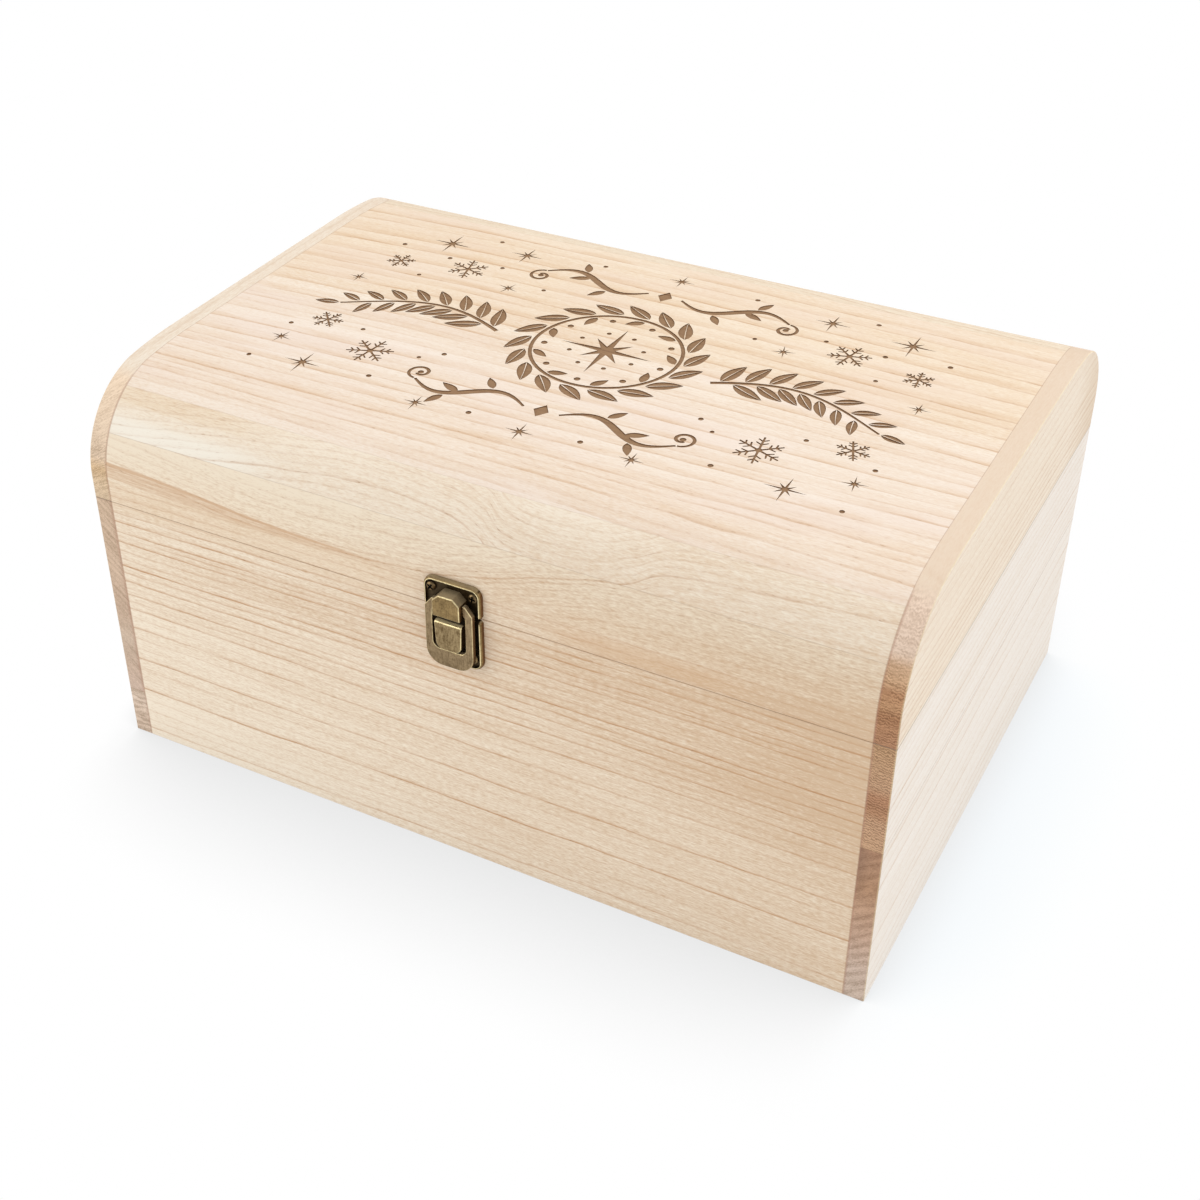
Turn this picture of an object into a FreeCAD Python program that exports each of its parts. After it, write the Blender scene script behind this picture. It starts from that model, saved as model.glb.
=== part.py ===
import FreeCAD, Part
import Sketcher
import math
import os

# Wooden keepsake box with a shallow domed lid, sawn apart from one glued-up
# carcase, two stop hinges at the back and a ring latch at the front.
# Frame: millimetres, origin at the centre of the underside, +Z up, the front
# faces -Y, X runs along the front.

V = FreeCAD.Vector
doc = FreeCAD.newDocument("GiftBox")
sheet = doc.addObject("Spreadsheet::Sheet", "Spec")

TABLE = [
    # carcase
    ("width", 400.0, "overall width along the front"),
    ("depth", 285.0, "overall depth, front face to back face"),
    ("board", 9.8, "thickness of every board"),
    ("seam", 142.4, "height of the saw cut between base and lid"),
    ("seam_gap", 0.2, "opening left at the saw cut"),
    ("spring", 154.0, "height where the front starts to round over"),
    ("round_r", 46.5, "radius of the rounded front and back"),
    ("round_a", 83.5, "angle covered by that radius, degrees"),
    ("dome_r", 265.0, "radius that leads into the flat of the dome"),
    ("front_joint_a", 29.6, "first stave joint at the front, degrees"),
    ("front_joint_b", 59.1, "second stave joint at the front, degrees"),
    ("back_joint_a", 41.75, "stave joint at the back, degrees"),
    ("ease", 0.7, "eased outer edge of the end boards"),
    ("tongue_lo", 3.2, "stub tongue: depth of its outer face below the surface"),
    ("tongue_hi", 6.6, "stub tongue: depth of its inner face below the surface"),
    ("tongue_len", 3.0, "stub tongue: how far it enters the end board"),
    ("tongue_foot", 10.0, "stub tongue: height where it starts"),
    ("bottom_thick", 5.0, "thickness of the bottom panel"),
    ("bottom_lap", 5.0, "width of the rebate that takes the bottom panel"),
    ("right_glue", 87.0, "glue joint between the two boards of the right end"),
    ("left_glue", 27.0, "glue joint between the two boards of the left end"),
    # brads through the bottom panel
    ("brad_r", 0.6, "brad shank radius"),
    ("brad_len", 14.0, "brad length"),
    ("brad_head_r", 1.3, "brad head radius"),
    ("brad_head", 0.5, "brad head thickness"),
    # hinges
    ("hinge_x", 112.0, "hinge centre from the middle of the box"),
    ("hinge_len", 28.0, "hinge length along its pin"),
    ("leaf", 1.0, "leaf thickness"),
    ("leaf_drop", 13.0, "leaf height from the pin axis"),
    ("leaf_r", 2.4, "rounded corner of a leaf"),
    ("barrel_r", 2.2, "knuckle radius"),
    ("barrel_off", 2.4, "pin axis from the back face"),
    ("pin_r", 1.0, "hinge pin radius"),
    ("pin_play", 0.05, "radial clearance of the pin in the moving knuckles"),
    ("pin_head_r", 1.5, "upset head of the hinge pin"),
    ("leaf_play", 0.2, "gap between one leaf and the other leaf's knuckles"),
    ("knuckle_gap", 0.15, "gap between neighbouring knuckles"),
    ("stop_a", 52.5, "stop flange angle above or below level, degrees"),
    ("stop_r", 6.0, "outer reach of a stop flange from the pin axis"),
    ("stop_in", 2.6, "inner reach of a stop flange from the pin axis"),
    ("stop_thick", 1.0, "stop flange thickness"),
    ("stop_play", 0.05, "clearance behind each stop face"),
    ("hinge_screw_x", 9.0, "hinge screw from the hinge centre"),
    ("hinge_screw_z", 8.5, "hinge screw from the pin axis"),
    ("screw_r", 1.2, "screw shank radius"),
    ("screw_len", 7.4, "screw shank length in the wood"),
    ("csk_r", 2.3, "countersunk head radius"),
    # latch
    ("latch_x", -0.3, "latch centre"),
    ("plate_half", 14.3, "half width of the latch plates"),
    ("keeper_top", 158.4, "top edge of the lid plate"),
    ("catch_foot", 115.0, "bottom edge of the base plate"),
    ("plate_gap", 0.45, "plate edge from the saw cut"),
    ("pan_floor", 1.2, "floor thickness of a plate"),
    ("pan_rim", 2.6, "height of a plate's rolled rim"),
    ("rim_width", 1.1, "width of that rim"),
    ("pan_corner", 4.8, "outer corner radius of a plate"),
    ("pan_corner_in", 3.6, "inner corner radius of a plate"),
    ("pan_corner_small", 1.8, "corner radius of a plate beside the saw cut"),
    ("latch_screw_x", 10.5, "lid plate's screw from the latch centre"),
    ("catch_screw_x", 9.7, "base plate's screw from the latch centre"),
    ("keeper_screw_z", 153.3, "height of the lid plate's screws"),
    ("catch_screw_z", 120.6, "height of the base plate's screws"),
    ("pan_head_r", 2.3, "pan head radius"),
    ("pan_head", 1.6, "pan head height"),
    ("boss_half", 6.8, "half width of the hood"),
    ("boss_foot", 142.9, "underside of the hood"),
    ("boss_top", 154.0, "top of the hood"),
    ("boss_clip", 3.2, "clipped corner of the hood"),
    ("boss_out", 8.0, "front of the hood from the box's front"),
    ("boss_wall", 1.1, "wall of the hood"),
    ("boss_hollow", 7.6, "height of the hollow inside the hood"),
    ("tab_half", 6.9, "half width of the tongue at its top"),
    ("tab_half_low", 6.4, "half width of the tongue near its foot"),
    ("tab_top", 139.4, "top of the tongue"),
    ("tab_low", 128.6, "height where the tongue starts to round in"),
    ("tab_foot", 124.8, "foot of the tongue"),
    ("tab_corner", 3.8, "foot corner of the tongue"),
    ("tab_out", 6.9, "front of the tongue from the box's front"),
    ("pivot_out", 4.4, "ring pivot from the box's front"),
    ("pivot_z", 147.6, "height of the ring pivot"),
    ("pivot_r", 1.0, "radius of the ring's top bar"),
    ("pivot_play", 0.06, "radial clearance of that bar in the hood"),
    ("ring_tilt", 1.0, "how far the ring leans out at rest, degrees"),
    ("ring_thick", 2.6, "ring thickness"),
    ("ring_half", 11.9, "half width of the ring"),
    ("ring_gap", 0.35, "side clearance between ring and hood"),
    ("ring_window", 8.3, "half width of the ring's window"),
    ("ring_window_top", 2.2, "window top below the pivot"),
    ("ring_window_foot", 23.2, "window foot below the pivot"),
    ("ring_window_r", 3.2, "window foot corner radius"),
    ("ring_foot", 32.2, "ring foot below the pivot"),
    ("ring_corner", 8.0, "foot corner radius of the ring"),
    ("ring_head", 2.5, "ring head above the pivot"),
    ("ring_shoulder", 2.0, "ring shoulder below the pivot"),
    ("ring_head_x", 8.3, "where the shoulder's slope starts"),
    ("ring_round", 0.42, "eased edge of the ring"),
    ("hardware_round", 0.6, "eased front edge of hood and tongue"),
    ("tab_brow", 1.1, "rounded top front edge of the tongue"),
    ("rim_round", 1.5, "rolled outer edge of the plates"),
]

for row, (alias, value, note) in enumerate(TABLE, start=1):
    sheet.set("A%d" % row, note)
    sheet.set("B%d" % row, repr(value))
    sheet.setAlias("B%d" % row, alias)
doc.recompute()


class Dim:
    """A size as its sheet formula and its present value."""

    def __init__(self, text, value):
        self.text = text
        self.value = value

    def __add__(self, other):
        other = dim(other)
        return Dim("(%s + %s)" % (self.text, other.text), self.value + other.value)

    def __sub__(self, other):
        other = dim(other)
        return Dim("(%s - %s)" % (self.text, other.text), self.value - other.value)

    def __mul__(self, other):
        other = dim(other)
        return Dim("(%s * %s)" % (self.text, other.text), self.value * other.value)

    def __truediv__(self, other):
        other = dim(other)
        return Dim("(%s / %s)" % (self.text, other.text), self.value / other.value)

    def __neg__(self):
        return Dim("(-1 * %s)" % self.text, -self.value)

    def __radd__(self, other):
        return dim(other) + self

    def __rsub__(self, other):
        return dim(other) - self

    def __rmul__(self, other):
        return dim(other) * self


def dim(number):
    if isinstance(number, Dim):
        return number
    return Dim("(%r)" % float(number) if number < 0 else "%r" % float(number), float(number))


class Sizes:
    """Every cell of the sheet by its alias."""


S = Sizes()
for alias, value, note in TABLE:
    setattr(S, alias, Dim("Spec.%s" % alias, value))


def cosd(angle):
    return Dim("cos(%s * 1 deg)" % angle.text, math.cos(math.radians(angle.value)))


def sind(angle):
    return Dim("sin(%s * 1 deg)" % angle.text, math.sin(math.radians(angle.value)))


# ---------------------------------------------------------------- sketches

def new_body(label):
    body = doc.addObject("PartDesign::Body", label)
    body.Label = label
    return body


def plane_of(body, role):
    for feature in body.Origin.OriginFeatures:
        if feature.Role == role:
            return feature
    raise RuntimeError("no plane " + role)


def new_sketch(body, name, role, offset):
    sketch = body.newObject("Sketcher::SketchObject", name)
    sketch.AttachmentSupport = [(plane_of(body, role), "")]
    sketch.MapMode = "FlatFace"
    sketch.setExpression("AttachmentOffset.Base.z", dim(offset).text)
    return sketch


def bind(sketch, kind, args, size):
    index = sketch.addConstraint(Sketcher.Constraint(kind, *(list(args) + [size.value])))
    sketch.setExpression("Constraints[%d]" % index, size.text)


def loop(sketch, corners):
    """A closed outline.

    corners is a list of (across, up, bend), where bend describes the way to
    the next corner: None for a straight line, or (radius, turn) for an arc,
    with turn +1 for counter-clockwise and -1 for clockwise.
    """
    count = len(corners)
    ends = [[] for _ in corners]
    arcs = []
    for i, (across, up, bend) in enumerate(corners):
        nxt = (i + 1) % count
        ax, ay = across.value, up.value
        bx, by = corners[nxt][0].value, corners[nxt][1].value
        if bend is None:
            geo = sketch.addGeometry(Part.LineSegment(V(ax, ay, 0), V(bx, by, 0)), False)
            ends[i].append((geo, 1))
            ends[nxt].append((geo, 2))
            continue
        radius, turn = bend
        r = radius.value
        mx, my = (ax + bx) / 2, (ay + by) / 2
        dx, dy = bx - ax, by - ay
        chord = math.hypot(dx, dy)
        rise = math.sqrt(max(r * r - chord * chord / 4, 0.0))
        cx = mx - turn * dy / chord * rise
        cy = my + turn * dx / chord * rise
        first, last = ((ax, ay), (bx, by)) if turn > 0 else ((bx, by), (ax, ay))
        a0 = math.atan2(first[1] - cy, first[0] - cx)
        a1 = math.atan2(last[1] - cy, last[0] - cx)
        while a1 <= a0:
            a1 += 2 * math.pi
        geo = sketch.addGeometry(
            Part.ArcOfCircle(Part.Circle(V(cx, cy, 0), V(0, 0, 1), r), a0, a1), False)
        ends[i].append((geo, 1 if turn > 0 else 2))
        ends[nxt].append((geo, 2 if turn > 0 else 1))
        arcs.append((geo, radius))
    for (across, up, bend), (one, two) in zip(corners, ends):
        sketch.addConstraint(Sketcher.Constraint("Coincident", one[0], one[1], two[0], two[1]))
        bind(sketch, "DistanceX", one, across)
        bind(sketch, "DistanceY", one, up)
    for geo, radius in arcs:
        bind(sketch, "Radius", (geo,), radius)


def hole(sketch, across, up, radius):
    geo = sketch.addGeometry(Part.Circle(V(across.value, up.value, 0), V(0, 0, 1), radius.value), False)
    bind(sketch, "DistanceX", (geo, 3), across)
    bind(sketch, "DistanceY", (geo, 3), up)
    bind(sketch, "Radius", (geo,), radius)


def grow(body, kind, name, sketch, length, flip):
    """A Pad or a Pocket, whose effect on the volume is checked."""
    doc.recompute()
    before = body.Shape.Volume if body.Tip else 0.0
    feature = body.newObject("PartDesign::" + kind, name)
    feature.Profile = sketch
    feature.setExpression("Length", dim(length).text)
    feature.Reversed = flip
    sketch.Visibility = False
    doc.recompute()
    after = body.Shape.Volume
    if kind == "Pad" and not after > before + 1e-6:
        raise RuntimeError("%s adds nothing" % name)
    if kind == "Pocket" and not after < before - 1e-6:
        raise RuntimeError("%s cuts nothing" % name)
    return feature


def soften(body, name, radius, keep):
    """A fillet along the edges of the tip that keep(edge) picks."""
    doc.recompute()
    tip = body.Tip
    names = ["Edge%d" % (i + 1) for i, edge in enumerate(tip.Shape.Edges) if keep(edge)]
    if not names:
        raise RuntimeError("%s finds no edge" % name)
    feature = body.newObject("PartDesign::Fillet", name)
    feature.Base = (tip, names)
    feature.setExpression("Radius", dim(radius).text)
    doc.recompute()
    if not feature.Shape.isValid() or "Invalid" in feature.State:
        raise RuntimeError("%s fails on %s" % (name, names))
    return feature


def edge_on(axis, place):
    def keep(edge):
        box = edge.BoundBox
        low = (box.XMin, box.YMin, box.ZMin)[axis]
        high = (box.XMax, box.YMax, box.ZMax)[axis]
        return abs(low - place) < 1e-4 and abs(high - place) < 1e-4
    return keep


# -------------------------------------------------------------- primitives

def place(obj, x, y, z, axis=None, angle=None):
    if axis is not None:
        obj.Placement = FreeCAD.Placement(V(0, 0, 0), FreeCAD.Rotation(V(*axis), float(dim(angle).value)))
        obj.setExpression("Placement.Rotation.Angle", "%s * 1 deg" % dim(angle).text)
    obj.setExpression("Placement.Base.x", dim(x).text)
    obj.setExpression("Placement.Base.y", dim(y).text)
    obj.setExpression("Placement.Base.z", dim(z).text)
    return obj


def block(name, x, y, z, lx, ly, lz, axis=None, angle=None):
    obj = doc.addObject("Part::Box", name)
    obj.setExpression("Length", dim(lx).text)
    obj.setExpression("Width", dim(ly).text)
    obj.setExpression("Height", dim(lz).text)
    return place(obj, x, y, z, axis, angle)


def rod(name, x, y, z, radius, length, axis=None, angle=None):
    obj = doc.addObject("Part::Cylinder", name)
    obj.setExpression("Radius", dim(radius).text)
    obj.setExpression("Height", dim(length).text)
    return place(obj, x, y, z, axis, angle)


def taper(name, x, y, z, radius_a, radius_b, length, axis=None, angle=None):
    obj = doc.addObject("Part::Cone", name)
    obj.setExpression("Radius1", dim(radius_a).text)
    obj.setExpression("Radius2", dim(radius_b).text)
    obj.setExpression("Height", dim(length).text)
    return place(obj, x, y, z, axis, angle)


def fuse(name, parts):
    obj = doc.addObject("Part::MultiFuse", name)
    obj.Shapes = parts
    obj.Refine = True
    return obj


def cut(name, base, tool):
    obj = doc.addObject("Part::Cut", name)
    obj.Base = base
    obj.Tool = tool
    obj.Refine = True
    return obj


def group(label, parts):
    obj = doc.addObject("Part::Compound", label)
    obj.Links = parts
    obj.Label = label
    return obj


PIECES = []


def piece(obj, label, solids=1):
    obj.Label = label
    PIECES.append((label, obj, solids))
    return obj


# ------------------------------------------------------------ the outline
# The end view of the box: upright to the spring line, a quarter-round of
# round_r, a flatter arc of dome_r, then level. d is the depth below the skin.

half_w = S.width / 2
half_d = S.depth / 2
base_top = S.seam - S.seam_gap / 2
lid_foot = S.seam + S.seam_gap / 2
round_y = half_d - S.round_r                       # centre of the quarter-round
dome_y = round_y - (S.dome_r - S.round_r) * cosd(S.round_a)
dome_z = S.spring - (S.dome_r - S.round_r) * sind(S.round_a)
inner_w = S.width - 2 * S.board                    # boards between the ends


def on_round(side, angle, d):
    """Point on the quarter-round; side -1 is the front, +1 the back."""
    reach = S.round_r - d
    y = (round_y + reach * cosd(angle)) * side
    return y, S.spring + reach * sind(angle)


def on_dome(side, d):
    return dome_y * side, dome_z + (S.dome_r - d)


def skin(d, foot):
    """Corners from the front foot over the dome to the back foot."""
    d = dim(d)
    front, back = -(half_d - d), half_d - d
    a = on_round(-1, S.round_a, d)
    b = on_dome(-1, d)
    c = on_dome(1, d)
    e = on_round(1, S.round_a, d)
    return [
        (front, foot, None),
        (front, S.spring, (S.round_r - d, -1)),
        (a[0], a[1], (S.dome_r - d, -1)),
        (b[0], b[1], None),
        (c[0], c[1], (S.dome_r - d, -1)),
        (e[0], e[1], (S.round_r - d, -1)),
        (back, S.spring, None),
        (back, foot, None),
    ]


def back_along(corners):
    """The same corners walked the other way, with the bends turned round."""
    out = []
    count = len(corners)
    for i in range(count - 1, -1, -1):
        bend = corners[i - 1][2] if i > 0 else None
        if bend is not None:
            bend = (bend[0], -bend[1])
        out.append((corners[i][0], corners[i][1], bend))
    return out


# ------------------------------------------------------- boards of the base

def long_board(label, side, section, tongue, holes, hole_flip):
    """A board between the ends, with stub tongues and pilot holes."""
    body = new_body(label)
    sketch = new_sketch(body, label + "_section", "YZ_Plane", -(inner_w / 2))
    loop(sketch, section)
    grow(body, "Pad", label + "_pad", sketch, inner_w, False)
    sketch = new_sketch(body, label + "_tongue", "YZ_Plane", -(inner_w / 2 + S.tongue_len))
    loop(sketch, tongue)
    grow(body, "Pad", label + "_tongues", sketch, inner_w + 2 * S.tongue_len, False)
    if holes:
        sketch = new_sketch(body, label + "_pilots", "XZ_Plane", half_d * (-side))
        for x, z, radius in holes:
            hole(sketch, x, z, radius)
        grow(body, "Pocket", label + "_pilot_holes", sketch, S.screw_len + 0.6, hole_flip)
    return body


def box_section(side, foot, top, lap=None):
    outer = half_d * side
    inner = (half_d - S.board) * side
    if lap is None:
        corners = [(outer, foot), (inner, foot), (inner, top), (outer, top)]
    else:
        step = (half_d - S.board + lap[0]) * side
        corners = [(outer, foot), (step, foot), (step, lap[1]), (inner, lap[1]), (inner, top), (outer, top)]
    return [(dim(y), dim(z), None) for y, z in corners]


def tongue_section(side, foot, top):
    lo = (half_d - S.tongue_lo) * side
    hi = (half_d - S.tongue_hi) * side
    return [(lo, foot, None), (hi, foot, None), (hi, top, None), (lo, top, None)]


zero = dim(0.0)
lap = (S.bottom_lap, S.bottom_thick)
catch_holes = [(S.latch_x + S.catch_screw_x, S.catch_screw_z, S.screw_r),
               (S.latch_x - S.catch_screw_x, S.catch_screw_z, S.screw_r)]
keeper_holes = [(S.latch_x + S.latch_screw_x, S.keeper_screw_z, S.screw_r),
                (S.latch_x - S.latch_screw_x, S.keeper_screw_z, S.screw_r)]
pin_z = S.seam
hinge_xs = []
for sign in (-1, 1):
    for out in (-1, 1):
        hinge_xs.append(S.hinge_x * sign + S.hinge_screw_x * out)
base_hinge_holes = [(x, pin_z - S.hinge_screw_z, S.screw_r) for x in hinge_xs]
lid_hinge_holes = [(x, pin_z + S.hinge_screw_z, S.screw_r) for x in hinge_xs]

brad_y = half_d - S.board + S.bottom_lap / 2
brad_x = half_w - S.board + S.bottom_lap / 2
brads_front = [(dim(x), -brad_y) for x in (-150, -50, 50, 150)]
brads_back = [(dim(x), brad_y) for x in (-150, -50, 50, 150)]
brads_left = [(-brad_x, dim(y)) for y in (-75, 75)]
brads_right = [(brad_x, dim(y)) for y in (-75, 75)]


def brad_holes(body, label, spots):
    """Nail holes going up from the ledge of the rebate."""
    sketch = new_sketch(body, label + "_brads", "XY_Plane", S.bottom_thick)
    for x, y in spots:
        hole(sketch, x, y, S.brad_r)
    grow(body, "Pocket", label + "_brad_holes", sketch, S.brad_len - S.bottom_thick, True)


front = long_board("base_front_panel", -1, box_section(-1, zero, base_top, lap),
                   tongue_section(-1, S.tongue_foot, base_top), catch_holes, False)
brad_holes(front, "base_front_panel", brads_front)
piece(front, "base_front_panel")

back = long_board("base_back_panel", 1, box_section(1, zero, base_top, lap),
                  tongue_section(1, S.tongue_foot, base_top), base_hinge_holes, True)
brad_holes(back, "base_back_panel", brads_back)
piece(back, "base_back_panel")


def base_end(label, side, foot, top, brads):
    """One board of an end of the base: full depth, grooved for the stub
    tongues, rebated for the bottom panel where it reaches the floor."""
    body = new_body(label)
    start = half_w - S.board if side > 0 else -half_w
    inside = (half_w - S.board) * side
    sketch = new_sketch(body, label + "_face", "YZ_Plane", start)
    loop(sketch, [(-half_d, foot, None), (half_d, foot, None), (half_d, top, None), (-half_d, top, None)])
    grow(body, "Pad", label + "_pad", sketch, S.board, False)
    groove_foot = S.tongue_foot if foot.value < S.tongue_foot.value else foot
    sketch = new_sketch(body, label + "_grooves", "YZ_Plane", inside)
    loop(sketch, tongue_section(-1, groove_foot, top))
    loop(sketch, tongue_section(1, groove_foot, top))
    grow(body, "Pocket", label + "_groove", sketch, S.tongue_len, side > 0)
    if foot.value == 0.0:
        reach = half_d - S.board + S.bottom_lap
        sketch = new_sketch(body, label + "_rebate", "YZ_Plane", inside)
        loop(sketch, [(-reach, foot, None), (reach, foot, None),
                      (reach, S.bottom_thick, None), (-reach, S.bottom_thick, None)])
        grow(body, "Pocket", label + "_ledge", sketch, S.bottom_lap, side > 0)
        brad_holes(body, label, brads)
    outer = half_w.value * side

    def keep(edge):
        box = edge.BoundBox
        on_face = abs(box.XMin - outer) < 1e-4 and abs(box.XMax - outer) < 1e-4
        upright = box.ZMax - box.ZMin > 1.0
        return on_face and upright
    soften(body, label + "_ease", S.ease, keep)
    return piece(body, label)


base_end("base_left_end_lower", -1, zero, S.left_glue, brads_left)
base_end("base_left_end_upper", -1, S.left_glue, base_top, None)
base_end("base_right_end_lower", 1, zero, S.right_glue, brads_right)
base_end("base_right_end_upper", 1, S.right_glue, base_top, None)

# bottom panel, let in flush from below, with counterbored nail holes
floor = new_body("base_bottom_panel")
reach_x = half_w - S.board + S.bottom_lap
reach_y = half_d - S.board + S.bottom_lap
outline = new_sketch(floor, "bottom_outline", "XY_Plane", zero)
loop(outline, [(-reach_x, -reach_y, None), (reach_x, -reach_y, None),
               (reach_x, reach_y, None), (-reach_x, reach_y, None)])
all_brads = brads_front + brads_back + brads_left + brads_right
for x, y in all_brads:
    hole(outline, x, y, S.brad_r)
grow(floor, "Pad", "bottom_pad", outline, S.bottom_thick, False)
heads = new_sketch(floor, "bottom_brad_heads", "XY_Plane", zero)
for x, y in all_brads:
    hole(heads, x, y, S.brad_head_r)
grow(floor, "Pocket", "bottom_head_holes", heads, S.brad_head, True)
piece(floor, "base_bottom_panel")

nails = []
for i, (x, y) in enumerate(all_brads):
    shank = rod("brad_shank_%d" % i, x, y, S.brad_head, S.brad_r, S.brad_len - S.brad_head)
    head = rod("brad_head_%d" % i, x, y, zero, S.brad_head_r, S.brad_head)
    nails.append(fuse("brad_%d" % i, [shank, head]))
piece(group("base_bottom_brads", nails), "base_bottom_brads", len(nails))

# -------------------------------------------------------- boards of the lid

lid_front = long_board("lid_front_rail", -1, box_section(-1, lid_foot, S.spring),
                       tongue_section(-1, lid_foot, S.spring), keeper_holes, False)
piece(lid_front, "lid_front_rail")
lid_back = long_board("lid_back_rail", 1, box_section(1, lid_foot, S.spring),
                      tongue_section(1, lid_foot, S.spring), lid_hinge_holes, True)
piece(lid_back, "lid_back_rail")


def stave_section(side, low, high, d_out, d_in):
    """A stretch of the quarter-round between two radial joints."""
    a = on_round(side, low, d_out)
    b = on_round(side, high, d_out)
    c = on_round(side, high, d_in)
    e = on_round(side, low, d_in)
    return [(a[0], a[1], (S.round_r - d_out, side)), (b[0], b[1], None),
            (c[0], c[1], (S.round_r - d_in, -side)), (e[0], e[1], None)]


def stave(label, side, low, high, holes=None):
    body = long_board(label, side, stave_section(side, low, high, zero, S.board),
                      stave_section(side, low, high, S.tongue_lo, S.tongue_hi), holes, False)
    return piece(body, label)


# the lid plate's screws cross the glue joint between rail and stave
stave("lid_front_lower_stave", -1, zero, S.front_joint_a, keeper_holes)
stave("lid_front_upper_stave", -1, S.front_joint_a, S.front_joint_b)
stave("lid_back_lower_stave", 1, zero, S.back_joint_a)
stave("lid_back_upper_stave", 1, S.back_joint_a, S.round_a)


def top_section(d_out, d_in):
    """The wide top board: it starts on the front quarter-round and ends
    where the dome meets the back one."""
    a = on_round(-1, S.front_joint_b, d_out)
    b = on_round(-1, S.round_a, d_out)
    c = on_dome(-1, d_out)
    e = on_dome(1, d_out)
    f = on_round(1, S.round_a, d_out)
    f2 = on_round(1, S.round_a, d_in)
    e2 = on_dome(1, d_in)
    c2 = on_dome(-1, d_in)
    b2 = on_round(-1, S.round_a, d_in)
    a2 = on_round(-1, S.front_joint_b, d_in)
    return [(a[0], a[1], (S.round_r - d_out, -1)), (b[0], b[1], (S.dome_r - d_out, -1)),
            (c[0], c[1], None), (e[0], e[1], (S.dome_r - d_out, -1)), (f[0], f[1], None),
            (f2[0], f2[1], (S.dome_r - d_in, 1)), (e2[0], e2[1], None),
            (c2[0], c2[1], (S.dome_r - d_in, 1)), (b2[0], b2[1], (S.round_r - d_in, 1)),
            (a2[0], a2[1], None)]


top = long_board("lid_top_board", 1, top_section(zero, S.board),
                 top_section(S.tongue_lo, S.tongue_hi), None, False)
piece(top, "lid_top_board")


def lid_end(label, side):
    body = new_body(label)
    start = half_w - S.board if side > 0 else -half_w
    inside = (half_w - S.board) * side
    sketch = new_sketch(body, label + "_face", "YZ_Plane", start)
    loop(sketch, skin(0.0, lid_foot))
    grow(body, "Pad", label + "_pad", sketch, S.board, False)
    sketch = new_sketch(body, label + "_groove_line", "YZ_Plane", inside)
    loop(sketch, skin(S.tongue_lo, lid_foot) + back_along(skin(S.tongue_hi, lid_foot)))
    grow(body, "Pocket", label + "_groove", sketch, S.tongue_len, side > 0)
    outer = half_w.value * side
    foot = lid_foot.value

    def keep(edge):
        box = edge.BoundBox
        on_face = abs(box.XMin - outer) < 1e-4 and abs(box.XMax - outer) < 1e-4
        return on_face and box.ZMax > foot + 1.0
    soften(body, label + "_ease", S.ease, keep)
    return piece(body, label)


lid_end("lid_left_end", -1)
lid_end("lid_right_end", 1)

# ----------------------------------------------------------------- hinges
# Five knuckles on each hinge, three on the base leaf. Each leaf carries a
# stop flange behind the barrel; the two meet when the lid is wide open.

pin_y = half_d + S.barrel_off
knuckle = S.hinge_len / 5


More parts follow.
